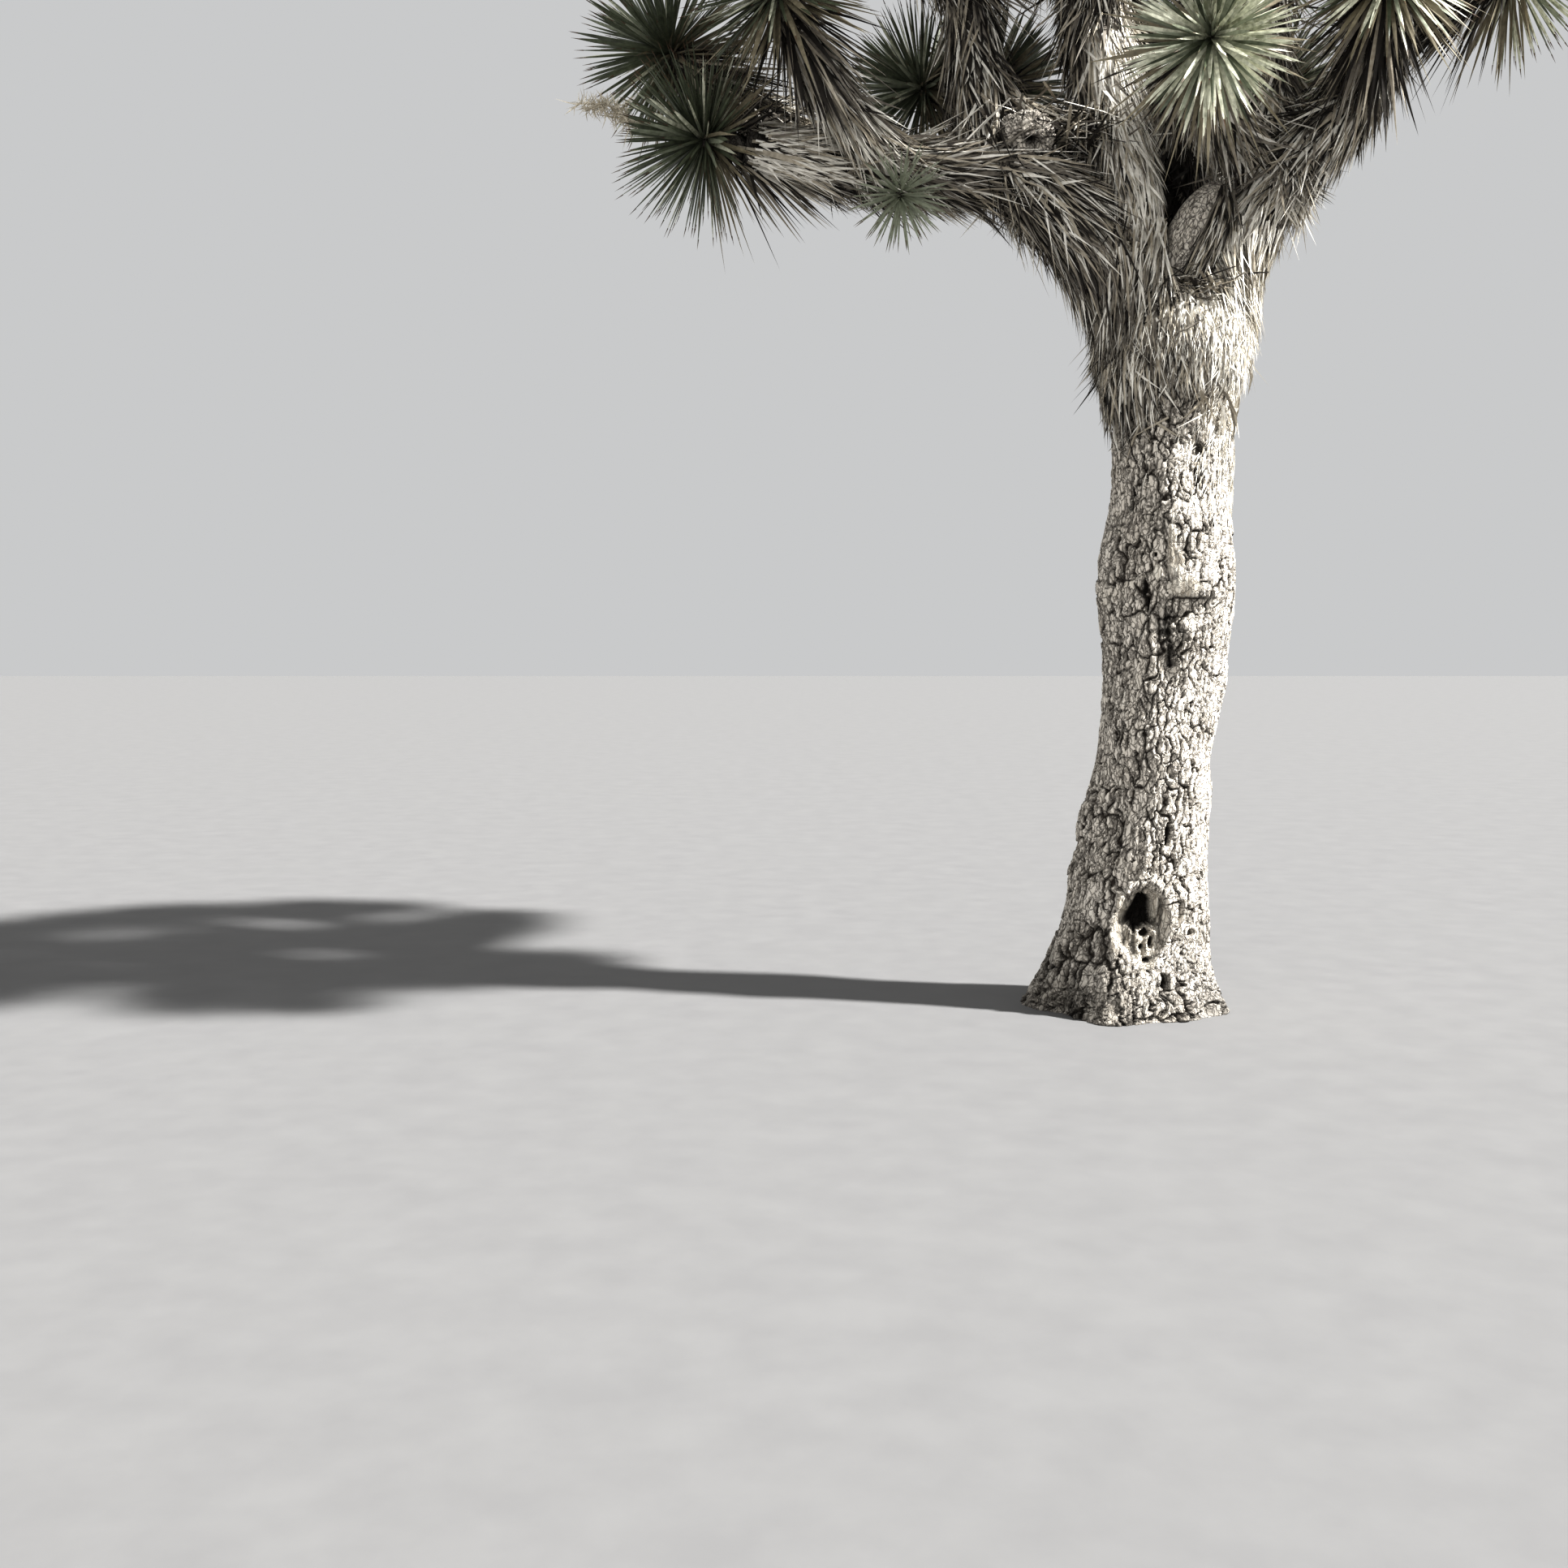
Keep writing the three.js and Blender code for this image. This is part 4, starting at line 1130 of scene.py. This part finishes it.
# %% Grow the thatch of the boughs and its worn patches
THATCH_SEED = 900

rng = np.random.default_rng(THATCH_SEED)
bough_thatch = merged([dead_leaves(limb, rng) for limb in limbs.values()])
bough_thatch = combed(turned_down(bough_thatch, rng), rng)
kept = clear_of_swellings(bough_thatch) & outside_trunk(bough_thatch) & off_worn_spots(bough_thatch, rng)
bough_thatch = chosen(bough_thatch, kept)
stubs = turned_down(merged([worn_leaves(limbs[name], rng=rng, **patch) for name, patch in WORN.items()]), rng)
stubs = chosen(stubs, clear_of_swellings(stubs) & outside_trunk(stubs))
print("dead leaves on the boughs:", len(bough_thatch["root"]), "and worn stubs:", len(stubs["root"]))

# %% [markdown]
# A shoot behind its head is thatched in the same way. The trunk's top wears a collar: long and
# ragged on the shaded left, where the left bough's leaves hang down over it, and short with a
# clean hem on the sunny right. Some leaves have come loose there and lie across the others, the
# bark under the hem frays into fibres, and fallen leaves lie caught where the boughs part.

# %% Dead leaves behind the heads
shoot_thatch = merged([dead_leaves(stem, rng, density=1000, last=0.9, longest=0.25) for stem in stems])
shoot_thatch = chosen(shoot_thatch, off_worn_spots(shoot_thatch, rng, 1.5))
print("dead leaves behind the heads:", len(shoot_thatch["root"]))


# %% The collar round the trunk's top
def collar_leaves(rng, count=7000):
    """Leaves that hang from the trunk's top, longest on the shaded side, over the dome's slope."""
    angle = rng.uniform(-np.pi, np.pi, count)
    shaded = 0.5 - 0.5 * np.cos(angle - math.radians(15))
    z = TRUNK_TOP - 0.002 - rng.random(count) ** 0.85 * (0.22 + 0.11 * shaded)
    patchy = 1 + 0.5 * ragged(angle / (2 * np.pi), 0.5 + 0 * z, 14, 1, 70)
    length = (0.09 + 0.1 * shaded * rng.uniform(0.4, 1.3, count)) * rng.uniform(0.7, 1.2, count) * patchy
    radius = trunk_radius(z, angle)
    slope = np.degrees(np.arctan2(trunk_radius(z - 0.06, angle) - radius, 0.06))
    root, out = beside_trunk(radius * rng.uniform(0.97, 1.04, count), angle, z)
    around = np.cross(UP, out)
    swerve = np.tan(np.radians(rng.normal(0, 14, count)))
    aim = unit(tilted(-UP, out, np.maximum(slope, 0) + rng.uniform(2, 9, count)) + around * swerve[:, None])
    bend = out * (length * -0.1)[:, None] - UP * (0.25 * length * (slope > 15))[:, None]
    return dict(root=root, along=aim, side=around, length=length, sag=bend, out=out)


# %% Loose leaves over the collar, and fibres under its hem
def loose_leaves(rng, count=170):
    """Leaves that have slipped and lie every way over the collar."""
    angle = np.radians(rng.uniform(-180, 180, count))
    z = rng.uniform(2.02, 2.4, count)
    root, out = beside_trunk(trunk_radius(z, angle) + 0.014, angle, z)
    around = np.cross(UP, out)
    aim = unit(tilted(-UP, around, rng.uniform(-75, 75, count)) + out * 0.06)
    length = rng.uniform(0.08, 0.2, count)
    sag = out * (length * -0.3)[:, None]
    return dict(root=root, along=aim, side=UP + out * 0.5, length=length, sag=sag, out=out)


def frayed_fibres(rng, count=1500):
    """Short fibres that lie on the sunny side's bark under the hem."""
    angle = np.radians(rng.normal(-22, 30, count))
    z = 2.2 - 0.5 * rng.random(count) ** 1.3
    root, out = beside_trunk(trunk_radius(z, angle) + 0.001, angle, z)
    around = np.cross(UP, out)
    swerve = np.tan(np.radians(rng.normal(-12, 16, count)))
    aim = unit(out * rng.uniform(0.02, 0.2, count)[:, None] - UP + around * swerve[:, None])
    length = rng.uniform(0.025, 0.075, count)
    return dict(root=root, along=aim, side=around, length=length, sag=out * (length * -0.1)[:, None], out=out)


# %% Leaves that hang over the dome between the boughs
def outermost(angle, z):
    """How far the boughs and the dome reach from the trunk's axis at each angle and height."""
    starts = [limbs[name].place(np.linspace(0, 0.4, 9)) for name in BOUGHS]
    middles = np.concatenate([place[0] for place in starts])
    reaches = np.concatenate([place[4] for place in starts])
    held = np.full(len(z), 0.08)
    for away in np.linspace(0.08, 0.3, 23):
        spot = beside_trunk(away, angle, z)[0]
        gap = np.linalg.norm(spot[:, None] - middles, axis=2) - 0.9 * reaches
        in_dome = (z < TRUNK_TOP) & (away < trunk_radius(np.minimum(z, TRUNK_TOP), angle))
        held = np.where((gap.min(axis=1) < 0) | in_dome, away, held)
    return held


def drape_leaves(rng, count=1700):
    """Leaves that hang from the boughs' feet over the dome, in one slope down to the collar."""
    angle = np.radians(rng.normal(-80, 60, count))
    beside = smoothstep(np.abs(angle + math.radians(84)), math.radians(12), math.radians(36))
    z = 2.35 + rng.random(count) * (0.08 + 0.3 * beside)
    foot = outermost(angle, z) * rng.uniform(0.93, 1.03, count)
    length = rng.uniform(0.1, 0.17, count) + 0.09 * beside
    reach = trunk_radius(np.minimum(z - length, 2.33), angle) + rng.uniform(0.004, 0.03, count)
    outward = np.clip((reach - foot) / length, -0.2, 0.75)
    root, out = beside_trunk(foot, angle, z)
    around = np.cross(UP, out)
    swerve = rng.normal(0, 0.24, count)
    aim = unit(out * outward[:, None] - UP * np.sqrt(1 - outward**2)[:, None] + around * swerve[:, None])
    sag = (out - UP) * (0.06 * length)[:, None]
    return dict(root=root, along=aim, side=around, length=length, sag=sag, out=out)


# %% Leaves over the boss, and fallen ones
def boss_leaves(rng, count=900):
    """Leaves of the right bough that lie over the right side of the boss in its crook."""
    shape = SWELLINGS["crook_boss"]
    half = np.array(shape["half"])
    local = rng.uniform((0.0, -1, -0.8), (0.8, -0.35, 1), (count, 3))
    local = unit(local) * rng.uniform(0.98, 1.08, count)[:, None]
    root = np.array(shape["centre"]) + leaning(local * half, shape["lean"])
    out = unit(leaning(local / half, shape["lean"]))
    down = -limbs["right_bough"].place(np.full(count, 0.1))[1] + rng.normal(0, 0.14, (count, 3))
    aim = unit(down - out * np.sum(down * out, axis=1)[:, None] + out * 0.12)
    length = rng.uniform(0.09, 0.2, count)
    sag = -out * (length * 0.12)[:, None]
    leaves = dict(root=root, along=aim, side=np.cross(aim, out), length=length, sag=sag, out=out)
    tip = root + aim * length[:, None] - np.array(shape["centre"])
    return chosen(leaves, leaning(tip, -shape["lean"])[:, 0] / half[0] > rng.normal(-0.15, 0.15, count))


def caught_leaves(rng, count, middle, spread, long):
    """Fallen leaves that lie every way where two boughs part, or in the crook under the boss."""
    place = np.array(middle) + rng.normal(size=(count, 3)) * np.array(spread)
    heading = direction(rng.uniform(0, 360, count), rng.normal(-8, 13, count))
    length = rng.uniform(*long, count)
    sag = -UP * (0.12 * length)[:, None]
    root = place - heading * (length / 2)[:, None]
    return dict(root=root, along=heading, side=np.cross(heading, UP), length=length, sag=sag, out=0 * sag)


# %% Grow the collar, what hangs over it and what lies caught
CAUGHT = {
    "on_burl": dict(count=560, middle=(-0.3, -0.06, 3.01), spread=(0.1, 0.06, 0.035), long=(0.14, 0.3)),
    "in_crook": dict(count=110, middle=(0.16, -0.19, 2.46), spread=(0.06, 0.03, 0.03), long=(0.07, 0.16)),
}
caught = merged([caught_leaves(rng, **place) for place in CAUGHT.values()])
caught = merged([chosen(caught, clear_of_swellings(caught)), boss_leaves(rng)])
collar = combed(collar_leaves(rng), rng, near=0.012, stray=0.03)
collar_thatch = merged([collar, drape_leaves(rng), loose_leaves(rng)])
fibres = frayed_fibres(rng)
collar_thatch = chosen(collar_thatch, clear_of_swellings(collar_thatch))
print("dead leaves in the collar:", len(collar_thatch["root"]), "and caught ones:", len(caught["root"]))

# %% Thatch materials, each a plain tone dealt out over the leaves
# Each tone is its paler and its darker colour, and its share of the leaves.
# The dark tone is near black: partly the darkest weathered leaves, partly painted shade for the gaps between
# leaves.
THATCH_TONES = {
    "dark": ((0.035, 0.03, 0.024), (0.015, 0.012, 0.01), 0.33),
    "grey": ((0.27, 0.245, 0.205), (0.12, 0.105, 0.087), 0.27),
    "straw": ((0.52, 0.475, 0.39), (0.3, 0.26, 0.2), 0.23),
    "bleached": ((0.92, 0.89, 0.82), (0.64, 0.61, 0.54), 0.17),
}
STUB_SHARES = (0.04, 0.06, 0.2, 0.7)

tones = {
    name: weathered("dead_leaf_" + name, pale, dark, 60, 0.0015, (0.6, 0.9), 0.25)
    for name, (pale, dark, _) in THATCH_TONES.items()
}


def thatch_blades(leaves, rng, wide=1.0):
    count = len(leaves["root"])
    width = DEAD_LEAF["width"] * wide * rng.uniform(0.65, 1.2, count)
    lay = (leaves["root"], leaves["along"], leaves["side"], leaves["length"])
    return laid(DEAD_BLADE, *lay, width, 0.3 * width, leaves["sag"], rng.normal(0, 0.7, count))


def dealt(leaves, rng, shares=None, wide=1.0, faded=0.0):
    """Deals leaves out among the tones, more of the pale ones where the lightness shift is up and of
    the dark ones where it is down, and lays each tone's own share of them."""
    shares = np.cumsum(shares or [share for _, _, share in THATCH_TONES.values()])
    draw = np.clip(rng.random(len(leaves["root"])) + faded, 0, 0.999)
    hand = np.searchsorted(shares, draw * shares[-1])
    return [thatch_blades(chosen(leaves, hand == k), rng, wide) for k in range(len(shares))]


# %% Where the thatch is paler from bleaching and painted light, and darker from painted shade
SUNNY_SIDE = direction(-12, 20)
# Painted shade: leaves in the crook and high in the crown are dealt darker tones.
CROOK = {"middle": (0.18, 0.15, 2.92), "half": (0.14, 0.17, 0.24), "darker": 0.75}
HIGH_UP = {"from": 3.0, "to": 3.4, "darker": 0.22}


def bleaching_and_painted_light(leaves, least, most):
    """Paler on a limb's side towards the key light and round a worn patch, partly real bleaching and partly
    painted light; darker high up and in the crook, as painted shade.
    """
    middle = partway(leaves)
    worn = 1 - smoothstep(from_worn_spots(leaves), 0.8, 1.7)
    high = HIGH_UP["darker"] * smoothstep(middle[:, 2], HIGH_UP["from"], HIGH_UP["to"])
    sunny = smoothstep(leaves["out"] @ SUNNY_SIDE, -0.2, 0.9)
    inside = np.linalg.norm((middle - CROOK["middle"]) / CROOK["half"], axis=1)
    faded = np.maximum(least + (most - least) * sunny - high, 0.5 * worn)
    return faded - CROOK["darker"] * (1 - smoothstep(inside, 0.75, 1.15))


# %% Lay the thatch of the boughs and of the trunk's top
on_boughs = zip(
    tones,
    dealt(bough_thatch, rng, faded=bleaching_and_painted_light(bough_thatch, 0.02, 0.24)),
    dealt(stubs, rng, STUB_SHARES, 0.75),
    dealt(caught, rng),
)
for name, *parts in on_boughs:
    mesh = laid_mesh("bough_thatch_" + name, *parts)
    add_piece("bough_thatch_" + name, mesh, tones[name], list(limbs))
collar_lightness_shift = bleaching_and_painted_light(collar_thatch, 0.1, 0.5)
collar_parts = dealt(collar_thatch, rng, wide=0.85, faded=collar_lightness_shift)
on_trunk = zip(tones, collar_parts, dealt(fibres, rng, STUB_SHARES, 0.3))
for name, *parts in on_trunk:
    mesh = laid_mesh("collar_thatch_" + name, *parts)
    add_piece("collar_thatch_" + name, mesh, tones[name], ["trunk"])

# %% [markdown]
# ## Heads of live leaves
#
# A head is a ball of daggers. The leaves come off the shoot in a spiral, each about 137.5
# degrees round from the last, and evenly over the ball: the solids use the same spiral with
# eleven leaves where a head here has more than two hundred. The youngest stand up round the tip,
# and the oldest have tilted back past level. Behind them hangs a skirt of leaves that died
# lately and folded back along the shoot, straw first and then grey.

# %% The spiral of leaves in one head
HEAD = {"depth": 0.11, "above": 0.45, "tilt": 122}
GOLDEN_ANGLE = 137.508
HEAD_SEED = 300
LEAVES_PER_HEAD = 250
LIVE_LEAF = {"width": 0.0168, "thick": 0.0055}


def head_leaves(stem, seed, count, size=1.0, lowest=HEAD["tilt"]):
    """Leaves spread evenly over a ball round a shoot's tip."""
    chance = chance_from(seed)
    rng = np.random.default_rng(seed)
    centre, along = stem.place(1.0)[:2]
    side = unit(np.cross(UP, along))
    over = np.cross(along, side)
    turn = 360 * chance() + np.arange(count) * GOLDEN_ANGLE + rng.normal(0, 4, count)
    level = 1 + (math.cos(math.radians(lowest)) - 1) * (np.arange(count) + 0.4) / count
    tilt = np.degrees(np.arccos(level))
    out = tilted(side, over, turn)
    aim = unit(tilted(np.broadcast_to(along, out.shape), out, tilt) + rng.normal(0, 0.045, (count, 3)))
    back = HEAD["depth"] * size * (HEAD["above"] - tilt / HEAD["tilt"])
    root = centre + along * back[:, None] + out * (0.028 * size * smoothstep(tilt, 5, 60))[:, None]
    grown = 0.74 + 0.26 * smoothstep(tilt, 5, 50)
    length = LEAF_LENGTH * size * grown * rng.uniform(0.84, 1.02, count)
    drop = length * (0.01 + 0.05 * smoothstep(tilt, 60, 120)) * rng.uniform(0.2, 1.4, count)
    place = dict(root=root, along=aim, side=np.cross(along, out), length=length, sag=-UP * drop[:, None])
    return dict(place, tilt=tilt, size=np.full(count, size))


# %% The skirt behind a head
SKIRT = {"leaves": 150, "from": 0.02, "to": 0.25, "tilt": (106, 166), "short": 0.25, "long": 0.39}


def skirt_leaves(stem, seed):
    """Leaves folded back round a shoot, with their age from 0, just dead, to 1."""
    rng = np.random.default_rng(seed)
    count = SKIRT["leaves"]
    centre, along, side, over, _ = stem.place(1.0)
    age = (np.arange(count) + rng.random(count)) / count
    out = tilted(side, over, np.arange(count) * GOLDEN_ANGLE + rng.normal(0, 9, count))
    first, last = SKIRT["tilt"]
    tilt = first + (last - first) * age**0.75 + rng.normal(0, 5, count)
    aim = unit(tilted(np.broadcast_to(along, out.shape), out, tilt) + rng.normal(0, 0.06, (count, 3)))
    back = SKIRT["from"] + (SKIRT["to"] - SKIRT["from"]) * age
    root = centre - along * back[:, None] + out * 0.034
    length = rng.uniform(SKIRT["short"], SKIRT["long"], count)
    sag = -UP * (length * rng.uniform(0.0, 0.13, count))[:, None]
    return dict(root=root, along=aim, side=np.cross(along, out), length=length, sag=sag, out=out, age=age)


# %% Grow every head and leave out leaves that would run into a limb
head_places = np.array([stem.place(1.0)[0] for stem in stems])
limb_places = [limb.place(np.linspace(0.1, 0.9, 10)) for limb in limbs.values()]
limb_centres = np.concatenate([place[0] for place in limb_places])
limb_radii = np.concatenate([place[4] for place in limb_places]) * 0.75


def free_of_limbs(leaves, own):
    """True where a leaf's outer half stays out of the boughs and out of the other heads."""
    clear = np.ones(len(leaves["root"]), bool)
    for share in (0.65, 1.0):
        points = partway(leaves, share)
        away = np.linalg.norm(points[:, None] - limb_centres[None], axis=2)
        clear &= np.all(away > limb_radii[None], axis=1)
        others = np.delete(head_places, own, axis=0)
        away = np.linalg.norm(points[:, None] - others[None], axis=2)
        clear &= np.all(away > 0.1, axis=1)
    return clear


SHORT_LEAVED = {"bright_head": 0.87}
YOUNG_LEAVES = {"seed": 977, "count": 105, "lowest": 112}

heads, skirts = [], []
for m, (name, mass) in enumerate(masses.items()):
    for h, stem in enumerate(mass):
        leaves = head_leaves(stem, HEAD_SEED + 17 * m + h, LEAVES_PER_HEAD, SHORT_LEAVED.get(name, 1.0))
        heads.append(chosen(leaves, free_of_limbs(leaves, len(heads))))
        skirts.append(skirt_leaves(stem, 5 * HEAD_SEED + 17 * m + h))
young_stem = straight_limb(
    "young_head",
    limbs[YOUNG["on"]].place(YOUNG["at"])[0],
    direction(*YOUNG["aim"]),
    YOUNG["length"],
    SHOOT["foot"] * YOUNG["leaf"] / LEAF_LENGTH,
    SHOOT["tip"] * YOUNG["leaf"] / LEAF_LENGTH,
)
young_head = head_leaves(young_stem, size=YOUNG["leaf"] / LEAF_LENGTH, **YOUNG_LEAVES)
skirt = merged(skirts)
skirt = chosen(skirt, off_worn_spots(skirt, rng, 1.5))
print("live leaves:", sum(len(head["root"]) for head in heads))
print("on the young head:", len(young_head["root"]))
print("leaves in the skirts:", len(skirt["root"]))

# %% [markdown]
# The leaves' colour differs from head to head more than within one, so each head is dealt most
# of its leaves from one of three grey-greens. The palest, near white, goes to the heads on the
# side towards the key light, and is painted light. The lowest leaves of every head are dying and
# go to a straw piece, and each leaf ends in a hard brown spine, which is a thin cone of its own.

# %% Blades and spines of live leaves
# Each tone is its paler and its darker colour.
LIVE_TONES = {
    "green": ((0.15, 0.17, 0.11), (0.045, 0.053, 0.032)),
    "grey_green": ((0.36, 0.385, 0.29), (0.16, 0.175, 0.125)),
    # This pale tone, near white, is painted light for the heads on the lit side.
    "sunlit_pale_green": ((0.95, 0.95, 0.78), (0.22, 0.23, 0.155)),
}
DYING = {"pale": (0.34, 0.3, 0.21), "dark": (0.16, 0.137, 0.092), "from_tilt": 112}
SPINE = {"length": 0.036, "width": 0.0042, "tones": ((0.14, 0.08, 0.045), (0.05, 0.03, 0.02))}
STILL_STRAW = 0.3


def live_blades(leaves, rng):
    count = len(leaves["root"])
    wide = LIVE_LEAF["width"] * leaves["size"] ** 1.15 * rng.uniform(0.82, 1.12, count)
    thick = LIVE_LEAF["thick"] * leaves["size"]
    lay = (leaves["root"], leaves["along"], leaves["side"], leaves["length"])
    return laid(LIVE_BLADE, *lay, wide, thick, leaves["sag"], rng.normal(0, 0.4, count))


def spines(leaves):
    count = len(leaves["root"])
    aim = unit(leaves["along"] * leaves["length"][:, None] + 2 * leaves["sag"])
    tip = partway(leaves, 1) + leaves["sag"]
    root = tip - aim * SPINE["length"] * 0.85
    width = np.full(count, SPINE["width"])
    return laid(SPINE_BLADE, root, aim, leaves["side"], np.full(count, SPINE["length"]), width, width * 0.7)


# %% Deal the leaves of every head among the tones
OWN_TONE = 0.5

rng = np.random.default_rng(HEAD_SEED)
live = {name: [] for name in LIVE_TONES}
dying = []
# Painted light: heads towards the key light get the palest, near-white tone.
sunniness = head_places @ direction(-35, 0) + rng.normal(0, 0.35, len(heads))
hands = np.argsort(np.argsort(sunniness)) * len(LIVE_TONES) // len(heads)
for head, hand in zip(heads, hands):
    count = len(head["tilt"])
    old = (head["tilt"] > DYING["from_tilt"]) & (rng.random(count) < 0.6)
    own = np.where(rng.random(count) < OWN_TONE, hand, rng.integers(0, len(LIVE_TONES), count))
    for k, name in enumerate(live):
        live[name].append(live_blades(chosen(head, ~old & (own == k)), rng))
    dying.append(live_blades(chosen(head, old), rng))
live["grey_green"].append(live_blades(young_head, rng))

# %% Add the live leaves, the dying ones, the thatch behind the heads and the spines
everyone = list(masses) + ["young_head"]
for name, (pale, dark) in LIVE_TONES.items():
    material = weathered("live_leaf_" + name, pale, dark, 45, 0.0006, (0.3, 0.5), 0.5)
    mesh = laid_mesh("live_leaves_" + name, *live[name])
    add_piece("live_leaves_" + name, mesh, material, everyone)
just_dead = chosen(skirt, skirt["age"] < STILL_STRAW)
long_dead = chosen(skirt, skirt["age"] >= STILL_STRAW)
straw = weathered("dying_leaf", DYING["pale"], DYING["dark"], 55, 0.001, (0.5, 0.75), 0.35)
dying.append(thatch_blades(just_dead, rng, 1.7))
add_piece("dying_leaves", laid_mesh("dying_leaves", *dying), straw, everyone)
# Painted shade: the skirts and the thatch behind the heads are dealt darker tones.
skirt_parts = dealt(long_dead, rng, wide=1.4, faded=-0.22)
for name, part, skirt_part in zip(tones, dealt(shoot_thatch, rng, faded=-0.1), skirt_parts):
    mesh = laid_mesh("shoot_thatch_" + name, part, skirt_part)
    add_piece("shoot_thatch_" + name, mesh, tones[name], list(masses))
horn = weathered("leaf_spine", *SPINE["tones"], 200, 0.0003, (0.4, 0.6))
spine_parts = [spines(head) for head in heads] + [spines(young_head)]
add_piece("leaf_spines", laid_mesh("leaf_spines", *spine_parts), horn, everyone)
young_wood = [wood_along(young_stem, SHOOT_COLUMNS, SHOOT_ROWS, WOOD_SEEDS["young_shoot"])]
add_piece("young_shoot_bark", joined_sheets("young_shoot_bark", young_wood), BARK, ["young_head"])

# %% [markdown]
# ## What a flower stalk left
#
# A head that has flowered keeps the dry stalk for years, and one on the left still shows it: a
# bent stub with a few arms, whose bracts and husks have curled up. Each curl is a dead leaf's
# blade again, narrow, short and strongly sagged, which is enough for a pale tangle at this size.

# %% The dry flower stalk
STALK = {"on": "left_outer_head", "reach": (-0.33, -0.02, 0.1), "arms": 7, "curls": 42, "seed": 61}
STALK_TONES = (0.72, 0.67, 0.56), (0.42, 0.37, 0.29)


def stalk_remains(stem, rng):
    """Arms off a bent stub, and curls off the arms."""
    root = stem.place(1.0)[0]
    tip = root + np.array(STALK["reach"])
    count = STALK["arms"]
    bend = (tip - root) * 0.5
    heading = unit(rng.normal(size=(count, 3)) + [-0.6, 0, -0.2])
    starts = tip - unit(tip - root) * rng.uniform(0, 0.12, count)[:, None]
    size = rng.uniform(0.05, 0.11, count)
    sag = -UP * (size * 0.3)[:, None]
    thin = np.full(count, 0.006)
    arms = laid(DEAD_BLADE, starts, heading, np.cross(heading, UP), size, thin, thin, sag)
    one = np.ones(1)
    lay = (root[None], unit(bend)[None], np.cross(bend, UP)[None])
    stub = laid(DEAD_BLADE, *lay, 0.36 * one, 0.016 * one, 0.014 * one, -UP[None] * 0.03)
    many = count * STALK["curls"]
    arm = np.repeat(np.arange(count), STALK["curls"])
    share = rng.random(many)
    starts = starts[arm] + heading[arm] * (size[arm] * share)[:, None] + sag[arm] * (share**2)[:, None]
    way = unit(rng.normal(size=(many, 3)))
    length = rng.uniform(0.025, 0.06, many)
    curl = np.cross(way, unit(rng.normal(size=(many, 3)))) * length[:, None] * 1.1
    width = rng.uniform(0.003, 0.006, many)
    twist = rng.normal(0, 2, many)
    curls = laid(DEAD_BLADE, starts, way, np.cross(way, curl), length, width, 0.4 * width, curl, twist)
    return laid_mesh("flower_stalk", stub, arms, curls)


stalk = stalk_remains(masses[STALK["on"]][0], np.random.default_rng(STALK["seed"]))
dry = weathered("dry_stalk", *STALK_TONES, 90, 0.001, (0.6, 0.9), 0.2)
add_piece("flower_stalk", stalk, dry, [STALK["on"]])

# %% [markdown]
# ## Light, floor and camera
#
# The tree stands on a plain pale floor in soft light. The key comes from the right, a little
# towards the camera and halfway up the sky, as the bright right sides of the trunk and boughs
# and the length of the tree's shadow show. A broad, weak light from the left of the camera opens
# the shaded side, so its bark and leaves can be read, and a pale sky fills the rest.

# %% The floor
FLOOR = {"half": 60, "tones": ((0.175, 0.173, 0.17), (0.162, 0.16, 0.158))}


def pale_floor():
    sheet = bmesh.new()
    bmesh.ops.create_grid(sheet, x_segments=1, y_segments=1, size=FLOOR["half"])
    mesh = bpy.data.meshes.new("floor")
    sheet.to_mesh(mesh)
    sheet.free()
    floor = bpy.data.objects.new("floor", mesh)
    bpy.context.scene.collection.objects.link(floor)
    mesh.materials.append(weathered("pale_floor", *FLOOR["tones"], 8, 0.001, (0.8, 0.95)))


pale_floor()

# %% The light
LIGHTS = {
    "key_light": dict(energy=13.5, width=3, heading=-14, climb=45),
    "fill_light": dict(energy=1.15, width=50, heading=-112, climb=8),
}
SKY_TONE = (0.64, 0.645, 0.65, 1)
PICTURE_GAMMA = 0.83

scene = bpy.context.scene
for name, light in LIGHTS.items():
    lamp = bpy.data.lights.new(name, "SUN")
    lamp.energy = light["energy"]
    lamp.angle = math.radians(light["width"])
    holder = bpy.data.objects.new(name, lamp)
    holder.rotation_euler = (math.radians(90 - light["climb"]), 0, math.radians(90 + light["heading"]))
    scene.collection.objects.link(holder)
    print(f"{name}: from heading {light['heading']}, {light['climb']} degrees up")
sky = bpy.data.worlds.new("pale_sky")
sky.use_nodes = True
sky.node_tree.nodes["Background"].inputs["Color"].default_value = SKY_TONE
sky.node_tree.nodes["Background"].inputs["Strength"].default_value = 1.0
scene.world = sky
scene.view_settings.view_transform = "Standard"
scene.view_settings.gamma = PICTURE_GAMMA

# %% The camera, at the photograph's viewing angle
FOCAL_PIXELS, PICTURE_SIDE = 2200, 1932
EYE = (-1.21, -6.29, 1.29)
LOOKS_DOWN = 4.574

lens = bpy.data.cameras.new("camera")
lens.sensor_width = 36
lens.lens = lens.sensor_width * FOCAL_PIXELS / PICTURE_SIDE
camera = bpy.data.objects.new("camera", lens)
camera.location = EYE
camera.rotation_euler = (math.radians(90 - LOOKS_DOWN), 0, 0)
scene.collection.objects.link(camera)
scene.camera = camera
print("lens:", round(lens.lens, 1), "mm")
